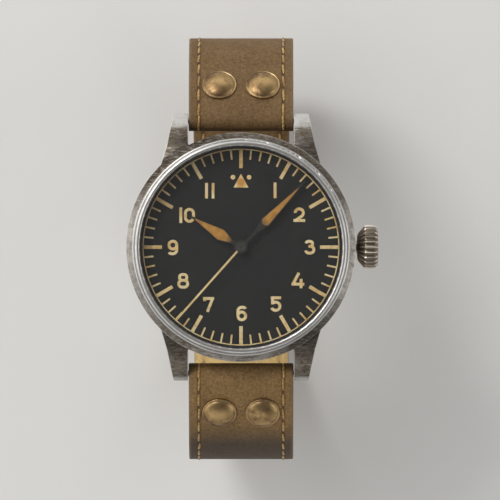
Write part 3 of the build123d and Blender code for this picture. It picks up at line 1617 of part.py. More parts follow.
with BuildPart() as buckle_tongue:
    with BuildSketch(Plane.YZ):
        with BuildLine():
            Polyline(
                (buckle_y, buckle_z - tongue_ring_r),
                (buckle_y, buckle_z - tongue_ring_r + tongue_t),
                (tongue_drop_y, buckle_z - tongue_ring_r + tongue_t),
                (tongue_bend_y, front_low + tongue_t),
                (tongue_tip_y, front_low + tongue_t),
                (tongue_tip_y, front_low + tongue_t / 3),
                (tongue_tip_y + tongue_t, front_low),
                (tongue_bend_y - tongue_t / 2, front_low),
                (tongue_drop_y - tongue_t / 2, buckle_z - tongue_ring_r),
                close=True,
            )
        make_face()
        with Locations((buckle_y, buckle_z)):
            Circle(tongue_ring_r)
            Circle(buckle_bar_r + wrap_gap, mode=Mode.SUBTRACT)
    extrude(amount=tongue_w / 2, both=True)
buckle_tongue.part.label = "buckle_tongue"
export_step(buckle_tongue.part, "parts/buckle_tongue.step")


# Keepers: the fixed one holds the flat part of the stack, the free one slides along the bend.

keeper_half_w = strap_buckle_w / 2 + keeper_gap
keeper_inner_z = stack_t - loop_depth + keeper_gap
keeper_outer_z = tail_outer - keeper_gap

with BuildPart() as fixed_keeper:
    keeper_height = keeper_inner_z - keeper_outer_z
    with BuildSketch(Plane.XZ.offset(-fixed_keeper_y)):
        with Locations((0, (keeper_inner_z + keeper_outer_z) / 2)):
            Rectangle((keeper_half_w + keeper_t) * 2, keeper_height + keeper_t * 2)
            Rectangle(keeper_half_w * 2, keeper_height, mode=Mode.SUBTRACT)
    extrude(amount=-fixed_keeper_w)
fixed_keeper.part.label = "fixed_keeper"
export_step(fixed_keeper.part, "parts/fixed_keeper.step")


def bend_sector(inner_r, outer_r, half_angle, half_w, mode=Mode.ADD):
    """A block that follows the lower bend, centred on the free keeper."""
    first = free_keeper_angle - half_angle
    last = free_keeper_angle + half_angle
    with BuildSketch(Plane.YZ) as sector:
        with BuildLine():
            bend(1, lower_12, outer_r, first, last)
            Line(place(1, lower_12, outer_r, last), place(1, lower_12, inner_r, last))
            bend(1, lower_12, inner_r, last, first)
            Line(place(1, lower_12, inner_r, first), place(1, lower_12, outer_r, first))
        make_face()
    extrude(sector.sketch, amount=half_w, both=True, mode=mode)


with BuildPart() as free_keeper:
    inner_r = fold_r - keeper_gap
    outer_r = tail_r + strap_t + keeper_gap
    bend_sector(inner_r - keeper_t, outer_r + keeper_t, free_keeper_half_angle, keeper_half_w + keeper_t)
    bend_sector(inner_r, outer_r, free_keeper_half_angle * 2, keeper_half_w, Mode.SUBTRACT)
free_keeper.part.label = "free_keeper"
export_step(free_keeper.part, "parts/free_keeper.step")
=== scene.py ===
from math import asin, atan2, ceil, cos, degrees, hypot, pi, radians, sin, sqrt
from random import Random
from types import SimpleNamespace

import bpy
from mathutils import Matrix, Vector


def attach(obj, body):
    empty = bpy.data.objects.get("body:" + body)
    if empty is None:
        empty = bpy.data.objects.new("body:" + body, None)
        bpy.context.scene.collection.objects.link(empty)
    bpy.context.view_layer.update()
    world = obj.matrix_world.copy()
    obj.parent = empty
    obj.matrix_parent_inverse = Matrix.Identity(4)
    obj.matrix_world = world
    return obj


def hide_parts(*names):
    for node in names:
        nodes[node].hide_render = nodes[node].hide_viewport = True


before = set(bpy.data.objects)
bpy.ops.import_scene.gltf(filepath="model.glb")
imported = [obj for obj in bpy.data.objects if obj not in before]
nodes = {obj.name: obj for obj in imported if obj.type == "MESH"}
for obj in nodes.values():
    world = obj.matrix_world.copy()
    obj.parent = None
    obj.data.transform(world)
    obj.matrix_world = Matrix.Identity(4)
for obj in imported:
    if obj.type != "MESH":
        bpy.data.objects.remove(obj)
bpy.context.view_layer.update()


# Movement plates and bridges: rolled brass, turned and milled, then plated with nickel.
# They are screwed together round the gear train; their flats keep the fine grain of the lap.


def paint(red, green, blue):
    """A colour as a screen shows it, 0 to 255, turned into the linear one that a shader takes."""
    shares = [value / 255 for value in (red, green, blue)]
    return tuple(((s + 0.055) / 1.055) ** 2.4 if s > 0.04 else s / 12.92 for s in shares) + (1,)


def add(tree, kind, inputs=(), **settings):
    """Adds a shader node, makes its choices and fills or links its inputs."""
    made = tree.nodes.new("ShaderNode" + kind)
    for name, value in settings.items():
        setattr(made, name, value)
    for name, value in dict(inputs).items():
        if isinstance(value, bpy.types.NodeSocket):
            tree.links.new(value, made.inputs[name])
        else:
            made.inputs[name].default_value = value
    return made


def reach(tree, value, low, high, start=0.0, end=1.0):
    """Spreads a value from low to high over start to end, and holds it there."""
    inputs = {"Value": value, "From Min": low, "From Max": high, "To Min": start, "To Max": end}
    return add(tree, "MapRange", inputs).outputs[0]


def tint(tree, share, first, second):
    """The first colour, going over to the second where the share is 1."""
    inputs = {0: share}
    for number, color in ((6, first), (7, second)):
        inputs[number] = color if isinstance(color, bpy.types.NodeSocket) else paint(*color)
    return add(tree, "Mix", inputs, data_type="RGBA").outputs[2]


def place_of(tree):
    """Where a point lies in the part's frame, in metres."""
    return add(tree, "TexCoord").outputs["Object"]


def resized(tree, place, size):
    """A place in a grain's own scale."""
    return add(tree, "VectorMath", {0: place, "Scale": size}, operation="SCALE").outputs[0]


def noise(tree, place, scale, detail=2, **more):
    """Cloudy noise, from 0 to 1."""
    inputs = {label.replace("_", " "): value for label, value in more.items()}
    return add(tree, "TexNoise", {"Vector": place, "Scale": scale, "Detail": detail, **inputs}).outputs[0]


def effect(name, takes, gives):
    """A new shader node group: its tree, what it takes in and what it gives out."""
    tree = bpy.data.node_groups.new(name, "ShaderNodeTree")
    for label, value in takes.items():
        socket = tree.interface.new_socket(label, in_out="INPUT", socket_type="NodeSocketFloat")
        socket.default_value = value
    for label in gives:
        tree.interface.new_socket(label, in_out="OUTPUT", socket_type="NodeSocketFloat")
    return tree, tree.nodes.new("NodeGroupInput").outputs, tree.nodes.new("NodeGroupOutput").inputs


def use(tree, name, **values):
    """Places an effect in a material with its own values, and gives its outputs."""
    inputs = {label.replace("_", " "): value for label, value in values.items()}
    return add(tree, "Group", inputs, node_tree=bpy.data.node_groups[name]).outputs


def surface(material):
    """The sockets of a material's surface shader."""
    return material.node_tree.nodes["Principled BSDF"].inputs


def finish(name, **plain):
    """A new material and its tree, with plain values on the shader's own sockets."""
    made = bpy.data.materials.new(name)
    made.use_nodes = True
    for label, value in plain.items():
        surface(made)[label.replace("_", " ")].default_value = value
    return made, made.node_tree


def cover(material, color, roughness=None, height=None, depth=0.0):
    """Links a surface's colour, roughness and bump to its shader."""
    tree, sockets = material.node_tree, surface(material)
    tree.links.new(color, sockets["Base Color"])
    if roughness is not None:
        tree.links.new(roughness, sockets["Roughness"])
    if height is not None:
        bump = add(tree, "Bump", {"Height": height, "Distance": depth})
        tree.links.new(bump.outputs[0], sockets["Normal"])


def dress(material, *names):
    """Gives a finish to CAD nodes."""
    for name in names:
        nodes[name].material_slots[0].material = material


def grain_effect():
    """Uneven tone and a fine grain, drawn out along one way by the tool."""
    tree, takes, gives = effect("tool_grain", {"Size": 1.0, "Draw": 1.0}, ("Tone", "Height"))
    drawn = add(tree, "CombineXYZ", {0: takes["Draw"], 1: 1.0, 2: 1.0}).outputs[0]
    stretched = add(tree, "VectorMath", {0: place_of(tree), 1: drawn}, operation="MULTIPLY").outputs[0]
    scaled = resized(tree, stretched, takes["Size"])
    tree.links.new(reach(tree, noise(tree, scaled, 300, 4), 0.3, 0.7), gives["Tone"])
    tree.links.new(noise(tree, scaled, 2600), gives["Height"])


def grained(name, light, dark, rough, size=1.0, draw=1.0, depth=0.00001, **plain):
    """A plain surface with an uneven tone and the grain of the tool that cut or moulded it."""
    made, tree = finish(name, **plain)
    grain = use(tree, "tool_grain", Size=size, Draw=draw)
    color = tint(tree, grain["Tone"], light, dark)
    cover(made, color, reach(tree, grain["Tone"], 0, 1, *rough), grain["Height"], depth)
    return made


grain_effect()
plate_nickel = grained(
    "plate_nickel", (205, 202, 194), (176, 172, 163), (0.25, 0.37), draw=0.1, Metallic=1.0
)
dress(plate_nickel, "main_plate", "barrel_bridge", "train_bridge", "balance_cock")


# Wheels, pinions and barrel: brass cut and polished, on arbors of hardened steel.
# The train runs in ruby bearings pressed into the plates, and steel screws hold the bridges.
hub_z = (0.0076, 0.0078)


def axes(tree):
    """Where a point lies in the part's frame, as its x, y and z."""
    return add(tree, "SeparateXYZ", {0: place_of(tree)}).outputs


def layered(tree, color, *layers):
    """A colour with others laid over it, each where its share is 1."""
    for share, shade in layers:
        color = tint(tree, share, color, shade)
    return color


def gone_over(material, where, shade):
    """Goes over a surface's colour with another one where a share, worked out in its tree, is 1."""
    tree = material.node_tree
    color = surface(material)["Base Color"]
    tree.links.new(layered(tree, color.links[0].from_socket, (where(tree), shade)), color)


train_brass = grained("train_brass", (214, 180, 104), (184, 146, 76), (0.21, 0.33), Metallic=1.0)
screw_steel = grained("screw_steel", (188, 190, 194), (150, 152, 158), (0.19, 0.31), Metallic=1.0)
jewel_ruby = grained(
    "jewel_ruby", (168, 22, 52), (120, 10, 34), (0.07, 0.19), Coat_Weight=0.8, Coat_Roughness=0.05
)
dress(
    train_brass, "barrel", "barrel_cover", "centre_wheel", "third_wheel", "balance_wheel",
    "cannon_pinion", "minute_wheel", "hour_wheel",
)
post_brass = grained("post_brass", (214, 180, 104), (184, 146, 76), (0.26, 0.34), Metallic=1.0)
gone_over(post_brass, lambda tree: reach(tree, axes(tree)[2], *hub_z), (52, 50, 46))
dress(post_brass, "fourth_wheel")
dress(
    screw_steel, "barrel_arbor", "mainspring", "ratchet_wheel", "crown_wheel", "winding_pinion",
    "stem", "escape_wheel", "pallet_fork", "hairspring", "bridge_screws",
)
dress(jewel_ruby, "jewels")


# Movement ring and seals: a moulded ring centres the movement in the case.
# Rubber seals lie under the case back, round the crystal and in the crown.
ring_plastic = grained("ring_plastic", (226, 224, 214), (206, 202, 190), (0.4, 0.52), size=0.7)
gasket_rubber = grained("gasket_rubber", (34, 34, 35), (22, 22, 23), (0.57, 0.69), size=0.8)
dress(ring_plastic, "movement_ring")
dress(gasket_rubber, "case_back_gasket", "crystal_gasket", "crown_gasket")


# Dial: a brass disc painted matt black, with a printed minute track, hour marks, a triangle
# and two dots in aged luminous paint that has turned to sand and ochre.
numeral_z = 7.3
triangle_y = 11.98


def metres(*sizes):
    """Millimetres turned into metres."""
    return tuple(size * 0.001 for size in sizes)


def sum_up(tree, operation, first, second=0.0):
    """One step of arithmetic."""
    return add(tree, "Math", {0: first, 1: second}, operation=operation).outputs[0]


def times(tree, first, *others):
    """Shares multiplied with one another."""
    for other in others:
        first = sum_up(tree, "MULTIPLY", first, other)
    return first


def plus(tree, first, *others):
    """Shares added up."""
    for other in others:
        first = sum_up(tree, "ADD", first, other)
    return first


dial_black = grained(
    "dial_black", (20, 22, 21), (24, 24, 23), (0.5, 0.6), size=0.6, depth=0.0000006,
    Specular_IOR_Level=0.25,
)
dress(dial_black, "dial")


def aged_paint(name, cream, ochre, brown):
    """Aged luminous paint: each mark yellowed and soiled in its own measure; a painted flange shadow at
    the upper left.
    """
    made, tree = finish(name, Specular_IOR_Level=0.3)
    place, (x, y, _) = place_of(tree), axes(tree)
    mark = sum_up(tree, "ROUND", times(tree, sum_up(tree, "ARCTAN2", y, x), 30 / pi))
    chance = add(tree, "TexWhiteNoise", {"W": mark}, noise_dimensions="1D").outputs[0]
    smudge = noise(tree, place, 900, 5, Roughness=0.7)
    cloud = noise(tree, place, 150, 3)
    yellow = plus(tree, reach(tree, smudge, 0.42, 0.68), reach(tree, chance, 0, 1, -0.3, 0.45))
    color = tint(tree, reach(tree, yellow, 0, 1), cream, ochre)
    # Painted shadow of the flange: the marks at the upper left are darkened towards brown.
    shadow_corner = reach(tree, sum_up(tree, "SUBTRACT", y, x), 0.014, 0.027)
    flange_shadow = times(tree, shadow_corner, reach(tree, cloud, 0.3, 0.6), 0.7)
    dark_share = reach(tree, smudge, 0.6, 0.75, 0, 0.55)
    middle = metres(0, triangle_y + 0.12, numeral_z)
    near = add(tree, "VectorMath", {0: place, 1: middle}, operation="DISTANCE").outputs["Value"]
    heart = reach(tree, near, 0.0005, 0.0011, 0.9, 0)
    color = layered(tree, color, (flange_shadow, brown), (dark_share, brown), (heart, (186, 132, 58)))
    cover(made, color, reach(tree, cloud, 0, 1, 0.6, 0.8), smudge, 0.00002)
    return made


print_sand = aged_paint("print_sand", (226, 206, 158), (206, 166, 98), (132, 104, 76))


# Numerals: thick strokes of the same luminous paint, printed on the dial through a stencil.
# Each stroke is an edge of the stroke's width, pushed along and spun round as a pen would go.
numeral_t = 0.07
stroke_w = 0.53
numeral_size = 0.985


def deselect():
    """Lets go of everything, so that an operator acts only on what comes next."""
    bpy.ops.object.select_all(action="DESELECT")


def settled(name):
    """Names the active object and puts its place into its mesh."""
    made = bpy.context.object
    made.name = made.data.name = name
    bpy.ops.object.transform_apply(location=True, rotation=True, scale=True)
    return made


def pick(made, test):
    """Selects the points of a mesh that pass a test, and nothing else."""
    for part in (*made.data.polygons, *made.data.edges):
        part.select = False
    for vertex in made.data.vertices:
        vertex.select = test(vertex.co)


def whole():
    """Selects all of the open mesh."""
    bpy.ops.mesh.select_all(action="SELECT")


def open_mesh():
    """Opens the active object's mesh with all of it selected."""
    bpy.ops.object.mode_set(mode="EDIT")
    whole()


def close_mesh(merge=False):
    """Merges double points where asked, turns the faces outwards and closes the mesh."""
    whole()
    if merge:
        bpy.ops.mesh.remove_doubles(threshold=0.000002)
    bpy.ops.mesh.normals_make_consistent(inside=False)
    bpy.ops.object.mode_set(mode="OBJECT")


def push(x, y, z):
    """Pushes the selection out by millimetres and leaves a skin behind it."""
    bpy.ops.mesh.extrude_region_move(TRANSFORM_OT_translate={"value": metres(x, y, z)})


def stroke(x, y, way, moves, lift=0.0):
    """Paints one stroke from a point, in a direction, by pushes ahead and turns to the left."""
    deselect()
    turn = radians(way)
    moves = [(angle, size * numeral_size) for angle, size in moves]
    start = (x - cos(turn) * stroke_w / 2, y - sin(turn) * stroke_w / 2, numeral_z + lift)
    bpy.ops.mesh.primitive_plane_add(size=stroke_w * 0.001, location=metres(*start), rotation=(0, 0, turn))
    made = bpy.context.object
    pick(made, lambda at: at.x < 0)
    bpy.ops.object.mode_set(mode="EDIT")
    bpy.ops.mesh.delete(type="VERT")
    whole()
    for angle, size in moves:
        if angle:
            hand = 1 if angle > 0 else -1
            centre = (x - hand * sin(turn) * size, y + hand * cos(turn) * size)
            bpy.ops.mesh.spin(
                steps=ceil(abs(angle) / 12), angle=-radians(angle),
                center=metres(*centre, numeral_z + lift), axis=(0, 0, 1),
            )
            turn += radians(angle)
            x, y = centre[0] + hand * sin(turn) * size, centre[1] - hand * cos(turn) * size
        else:
            step = (cos(turn) * size, sin(turn) * size, 0)
            push(*step)
            x, y = x + step[0], y + step[1]
    whole()
    bpy.ops.mesh.remove_doubles(threshold=0.000002)
    push(0, 0, numeral_t)
    close_mesh()
    return settled("stroke")


bowl_r = 0.77
loop_r = 0.735
loop = [(180, loop_r), (180, loop_r)]
tail = [(60, 0.55), (0, 0.24), (90, 0.74), (0, 0.85)]
numeral_strokes = {
    "0": [(bowl_r, -0.37, 90, [(0, 0.74), (180, bowl_r), (0, 0.74), (180, bowl_r)])],
    "1": [(0, -1.475, 90, [(0, 2.95)])],
    "2": [(-0.77, 0.3, 90, [(-235, bowl_r), (0, 1.45)]), (-1.1, -1.14, 0, [(0, 2.22)])],
    "3": [
        (-0.7, 0.72, 75, [(-75, 0.5), (0, 0.3), (-180, 0.48), (0, 0.3)]),
        (-0.15, 0.16, 0, [(0, 0.3), (-180, 0.64), (0, 0.3), (-75, 0.64)]),
    ],
    "4": [(0.2, 1.45, 242, [(0, 2.25)]), (-1.2, -0.7, 0, [(0, 2.4)]), (0.6, 0.3, 270, [(0, 1.775)])],
    "5": [
        (-0.97, 1.14, 0, [(0, 1.95)]),
        (-0.64, 1.2, 270, [(0, 1.3)]),
        (-0.6, 0.02, 62, [(-62, 0.55), (0, 0.1), (-180, bowl_r), (0, 0.1), (-65, bowl_r)]),
    ],
    "6": [(loop_r, -0.44, 90, loop), (0.72, 0.91, 120, tail)],
    "7": [(-0.82, 0.62, 90, [(0, 0.55)]), (-1.12, 1.14, 0, [(0, 2.1)]), (0.75, 1.3, 249, [(0, 2.9)])],
    "8": [
        (0.15, 0.09, 0, [(180, 0.55), (0, 0.3), (180, 0.55), (0, 0.3)]),
        (0.2, -1.21, 0, [(180, 0.65), (0, 0.4), (180, 0.65), (0, 0.4)]),
    ],
    "9": [(-loop_r, 0.44, 270, loop), (-0.72, -0.91, 300, tail)],
}
numeral_places = (
    ("1", 6.36, 10.6), ("2", 10.87, 6.1), ("3", 12.82, 0.0), ("4", 10.63, -6.22),
    ("5", 6.52, -10.58), ("6", 0.14, -12.4), ("7", -5.98, -10.7), ("8", -10.79, -6.28),
    ("9", -12.71, -0.06), ("1", -11.24, 5.94), ("0", -9.62, 5.94), ("1", -6.43, 10.53),
    ("1", -5.21, 10.53),
)
strokes = []
for digit, digit_x, digit_y in numeral_places:
    for number, (x, y, way, moves) in enumerate(numeral_strokes[digit]):
        point = (digit_x + x * numeral_size, digit_y + y * numeral_size)
        strokes.append(stroke(*point, way, moves, number * 0.004))


def joined(parts, name):
    """Joins pieces of one body into one object."""
    deselect()
    for part in parts:
        part.select_set(True)
    bpy.context.view_layer.objects.active = parts[0]
    bpy.ops.object.join()
    parts[0].name = parts[0].data.name = name
    return parts[0]


def placed(piece, material, slot, body, *replaced):
    """Gives a finished piece its finish, its body and the CAD nodes that it stands for."""
    piece.data.materials.clear()
    piece.data.materials.append(material)
    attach(piece, body)
    if replaced:
        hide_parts(*replaced)
    return piece


placed(joined(strokes, "dial_numerals"), print_sand, "print_sand", "root")


# Minute track: a thin ring with sixty marks, twelve of them broad, and a triangle between two
# dots at twelve, all printed in the same thick paint.
print_t = 0.06
track_r, track_w = 18.17, 0.2
minute_in, minute_w = 16.42, 0.33
hour_in, hour_w = 14.75, 0.65
triangle_wide, triangle_long = 1.61, 1.72
dot_x, dot_y, dot_r = 1.5, 13.05, 0.43


def linked(name, data):
    """A new object in the scene."""
    made = bpy.data.objects.new(name, data)
    bpy.context.scene.collection.objects.link(made)
    return made


def copied(made, name, turn=None):
    """A copy with its own mesh, moved or turned where asked."""
    copy = linked(name, made.data.copy())
    if turn:
        copy.data.transform(turn)
    return copy


def plate(name, wide, long, place, tilt=0.0):
    """A flat plate of a width and a length."""
    deselect()
    bpy.ops.mesh.primitive_plane_add(size=1, location=metres(*place), rotation=(tilt, 0, 0))
    bpy.context.object.scale = (*metres(wide, long), 1)
    return settled(name)


def raised(name):
    """Gives the flat print of the active object its thickness."""
    open_mesh()
    push(0, 0, print_t)
    close_mesh()
    return settled(name)


def printed_mark(inner, width):
    """One mark of the track at twelve, from its inner end to the ring."""
    plate("mark", width, track_r - inner, (0, (inner + track_r) / 2, numeral_z))
    return raised("mark")


def turned_copies(made, angles):
    """Copies of a mark, each turned round the dial."""
    copies = [copied(made, "mark", Matrix.Rotation(radians(angle), 4, "Z")) for angle in angles]
    bpy.data.objects.remove(made)
    return copies


def printed_ring():
    """The ring of the track."""
    deselect()
    outer = track_r + track_w / 2
    bpy.ops.mesh.primitive_circle_add(vertices=240, radius=outer * 0.001, location=metres(0, 0, numeral_z))
    open_mesh()
    push(0, 0, 0)
    share = (outer - track_w) / outer
    bpy.ops.transform.resize(value=(share, share, 1), center_override=metres(0, 0, numeral_z))
    return raised("ring")


def printed_shape(x, y, corners, across, along):
    """A filled shape of so many corners: the triangle or a dot."""
    deselect()
    bpy.ops.mesh.primitive_circle_add(
        vertices=corners, radius=1, fill_type="NGON", location=metres(x, y, numeral_z)
    )
    bpy.context.object.scale = (*metres(across, along), 1)
    settled("shape")
    return raised("shape")


track = [
    *turned_copies(printed_mark(hour_in, hour_w), range(0, 360, 30)),
    *turned_copies(printed_mark(minute_in, minute_w), [turn for turn in range(0, 360, 6) if turn % 30]),
    printed_ring(),
    printed_shape(0, triangle_y, 3, triangle_wide, triangle_long),
    *[printed_shape(x, dot_y, 32, dot_r, dot_r) for x in (-dot_x, dot_x)],
]
placed(joined(track, "dial_track"), print_sand, "print_sand", "root", "dial_marks")


# Hands: stamped brass, blackened, with a window filled with luminous paint that has aged to
# ochre; the thin seconds hand is painted in the colour of the marks.
hub_r = (0.001, 0.00112)
lume_root = (0.0023, 0.0034)
hour_root = (0.0059, 0.0071)


def from_axis(tree):
    """How far a point lies from the dial's axis."""
    flat = add(tree, "VectorMath", {0: place_of(tree), 1: (1, 1, 0)}, operation="MULTIPLY").outputs[0]
    return add(tree, "VectorMath", {0: flat}, operation="LENGTH").outputs["Value"]


def lume_finish():
    """The filling of the two hands: blotched, with painted shade at its inner ends."""
    made, tree = finish("lume_amber", Specular_IOR_Level=0.35)
    away, x = from_axis(tree), axes(tree)[0]
    hour = times(tree, reach(tree, away, *hour_root, 0.8, 0), reach(tree, x, 0, 0.001))
    smudge = noise(tree, place_of(tree), 700, 5)
    color = tint(tree, reach(tree, smudge, 0.4, 0.68), (178, 130, 56), (142, 96, 38))
    # Painted shade: the lume darkens towards the inner end of each hand's window.
    dark_share = plus(tree, reach(tree, away, *lume_root, 0.8, 0), hour)
    color = layered(tree, color, (dark_share, (70, 56, 42)))
    cover(made, color, reach(tree, smudge, 0, 1, 0.45, 0.7), smudge, 0.00003)
    return made


hand_black = grained("hand_black", (50, 49, 45), (38, 36, 32), (0.31, 0.43), size=1.5, Metallic=0.3)
dress(hand_black, "hour_hand", "minute_hand")
hand_sand = grained(
    "hand_sand", (226, 204, 150), (196, 162, 98), (0.4, 0.5), size=1.5, depth=0.000005,
    Specular_IOR_Level=0.4,
)
gone_over(hand_sand, lambda tree: reach(tree, from_axis(tree), *hub_r, 1, 0), (50, 49, 45))
dress(hand_sand, "second_hand")
dress(lume_finish(), "hour_hand_lume", "minute_hand_lume")


# Case middle and back: stainless steel, forged with its four lugs, brushed, then aged with a
# brown patina, pits and scratches. The edges of the lugs are worn bright.


def patina_effect():
    """Brown blotches, crossed scratches and small pits."""
    tree, takes, gives = effect("patina", {"Size": 1.0}, ("Blotches", "Scratches", "Pits"))
    scaled = resized(tree, place_of(tree), takes["Size"])
    broad = noise(tree, scaled, 330, 7, Roughness=0.72, Distortion=0.4)
    tree.links.new(reach(tree, broad, 0.44, 0.62), gives["Blotches"])
    lines = 0.0
    for turn, long in ((0.5, 22), (1.9, 16), (2.6, 30)):
        turned = {"Vector": scaled, "Rotation": (0, 0, turn), "Scale": (1, long, 1)}
        streak = noise(tree, add(tree, "Mapping", turned).outputs[0], 260)
        lines = sum_up(tree, "MAXIMUM", reach(tree, streak, 0.62, 0.7), lines)
    tree.links.new(lines, gives["Scratches"])
    cells = add(tree, "TexVoronoi", {"Vector": scaled, "Scale": 1400}).outputs["Distance"]
    sparse = reach(tree, noise(tree, scaled, 420), 0.48, 0.6)
    tree.links.new(times(tree, reach(tree, cells, 0.14, 0.3, 1, 0), sparse), gives["Pits"])


def wear_effect():
    """How near an edge is: 1 where two faces meet and 0 on a flat one."""
    tree, takes, gives = effect("edge_wear", {"Radius": 0.0004}, ("Edge",))
    soft = add(tree, "Bevel", {"Radius": takes["Radius"]}, samples=6).outputs[0]
    sharp = add(tree, "NewGeometry").outputs["Normal"]
    match = add(tree, "VectorMath", {0: soft, 1: sharp}, operation="DOT_PRODUCT").outputs["Value"]
    tree.links.new(reach(tree, match, 0.995, 0.9), gives["Edge"])


def brush_effect():
    """Fine lines round the upright axis, as brushing on a turning table leaves them."""
    tree, takes, gives = effect("round_brushing", {"Turns": 9.0, "Lines": 9000.0}, ("Line",))
    x, y, z = axes(tree)
    turn = times(tree, sum_up(tree, "ARCTAN2", y, x), takes["Turns"])
    wide = times(tree, plus(tree, from_axis(tree), z), takes["Lines"])
    drawn = add(tree, "CombineXYZ", {0: turn, 1: wide}).outputs[0]
    tree.links.new(reach(tree, noise(tree, drawn, 1, 3, Roughness=0.65), 0.3, 0.7), gives["Line"])


collar_shade_r = (0.0222, 0.0217)
upper_root, upper_end, upper_tip_highlight = (0.004, 0.013), (0.0228, 0.0222), (0.0232, 0.0252)
lower_root, lower_tip_highlight = (-0.0095, -0.018), (-0.0242, -0.0247)
lug_inside = (0.007, 0.0095)


def lug_soil_and_painted_light(tree):
    """Darker ring and lug roots (patina and painted shade), painted highlights on the tips, painted collar
    shade.
    """
    x, y, _ = axes(tree)
    # Darker brown over the upper ring, the lug roots and the lower lugs: partly patina, partly painted
    # shade, heavier towards the left.
    above = times(
        tree, reach(tree, y, *upper_root), reach(tree, y, *upper_end),
        reach(tree, x, -0.004, -0.012, 0.82, 1.0),
    )
    outer = reach(tree, sum_up(tree, "ABSOLUTE", x), *lug_inside)
    below = times(tree, reach(tree, y, *lower_root, 0, 0.9), reach(tree, outer, 0, 1, 0.3, 1))
    # Painted shade on the ring between bezel and case, at the upper left and lower right, where the
    # brushed steel looks dark; it also dims the worn edges there.
    left = times(tree, reach(tree, x, 0.002, -0.007), reach(tree, y, 0.006, 0.0125))
    right = times(tree, reach(tree, x, 0.006, 0.012, 0, 0.7), reach(tree, y, -0.008, -0.0135))
    collar_shade = times(tree, reach(tree, from_axis(tree), *collar_shade_r), plus(tree, left, right))
    # Painted highlights on the lug tips, as if their end facets caught the light.
    tip_highlights = plus(
        tree, reach(tree, y, 0.0223, 0.0229, 0, 0.25), reach(tree, y, *upper_tip_highlight, 0, 0.55),
        reach(tree, y, *lower_tip_highlight, 0, 0.5),
    )
    return plus(tree, above, below), tip_highlights, collar_shade


def worn_steel(name, clean, stain, bright, rough, size=1.0, stained=0.8, edge=0.00016, lugs=False):
    """Brushed steel with an aged patina, worn bright along its edges; with lugs, also painted shade and
    highlights.
    """
    made, tree = finish(name, Metallic=1.0)
    marks = use(tree, "patina", Size=size)
    brushed = use(tree, "round_brushing")["Line"]
    rim = use(tree, "edge_wear", Radius=edge)["Edge"]
    share = plus(tree, times(tree, marks["Blotches"], stained), reach(tree, brushed, 0, 1, -0.3, 0.3))
    color = tint(tree, reach(tree, share, 0, 1), clean, stain)
    if lugs:
        # On the case: patina and painted shade on ring and lug roots, and painted shade on the collar,
        # which also dims the worn edges.
        dark_share, tip_highlights, collar_shade = lug_soil_and_painted_light(tree)
        dark_share = times(tree, dark_share, reach(tree, marks["Blotches"], 0, 1, 0.75, 1.0))
        collar_shade_share = times(tree, collar_shade, 0.85)
        color = layered(tree, color, (dark_share, (80, 67, 51)), (collar_shade_share, (46, 38, 29)))
        rim = times(tree, rim, reach(tree, collar_shade, 0, 1, 1, 0.15))
    color = layered(
        tree, color, (times(tree, marks["Pits"], 0.7), [part * 0.45 for part in stain]),
        (times(tree, marks["Scratches"], 0.35), bright), (times(tree, rim, 0.8), bright),
    )
    # Painted highlights on the lug tips.
    if lugs:
        color = layered(tree, color, (tip_highlights, bright))
    low = plus(tree, times(tree, marks["Scratches"], 0.4), marks["Pits"], times(tree, brushed, 0.3))
    roughness = reach(tree, share, 0, 1, rough, rough + 0.22)
    cover(made, color, roughness, sum_up(tree, "SUBTRACT", 1.0, low), 0.000008)
    return made


def chosen(made):
    """Selects one piece alone and makes it the active one."""
    deselect()
    made.select_set(True)
    bpy.context.view_layer.objects.active = made


def worked(made, kind, **values):
    """Runs a modifier on the active piece and applies it."""
    modifier = made.modifiers.new("work", kind)
    for name, value in values.items():
        setattr(modifier, name, value)
    bpy.ops.object.modifier_apply(modifier="work")


def rounded(made, width, limit):
    """Rounds over the edges that turn by more than a limit."""
    worked(
        made, "BEVEL", width=width * 0.001, segments=3, limit_method="ANGLE", angle_limit=radians(limit)
    )


def shade(limit):
    """Shades the active piece smoothly, but for the edges that turn by more than a limit."""
    bpy.ops.object.shade_smooth_by_angle(angle=radians(limit))


edge_r = 0.12


def softened(node, name):
    """A copy of a machined piece with its triangles merged and its edges rounded over."""
    made = copied(nodes[node], name)
    chosen(made)
    bpy.ops.mesh.customdata_custom_splitnormals_clear()
    open_mesh()
    bpy.ops.mesh.remove_doubles(threshold=0.000002)
    bpy.ops.mesh.dissolve_limited(angle_limit=radians(0.5))
    bpy.ops.object.mode_set(mode="OBJECT")
    rounded(made, edge_r, 30)
    shade(35)
    return made


patina_effect()
wear_effect()
brush_effect()
case_steel = worn_steel(
    "case_steel", (152, 147, 140), (96, 88, 78), (230, 229, 226), 0.33, size=2.2, stained=0.6, edge=0.0002,
    lugs=True,
)
placed(softened("case_middle", "case_body"), case_steel, "case_steel", "root", "case_middle")
dress(case_steel, "case_back")


# Bezel, flange and crystal: a polished steel ring pressed on the case holds a domed crystal, and a
# polished inner ring between dial and crystal mirrors the dial. The bezel's inner lip carries a
# painted reflection of the minute track.
reflection_lip_r = (0.01914, 0.01919)


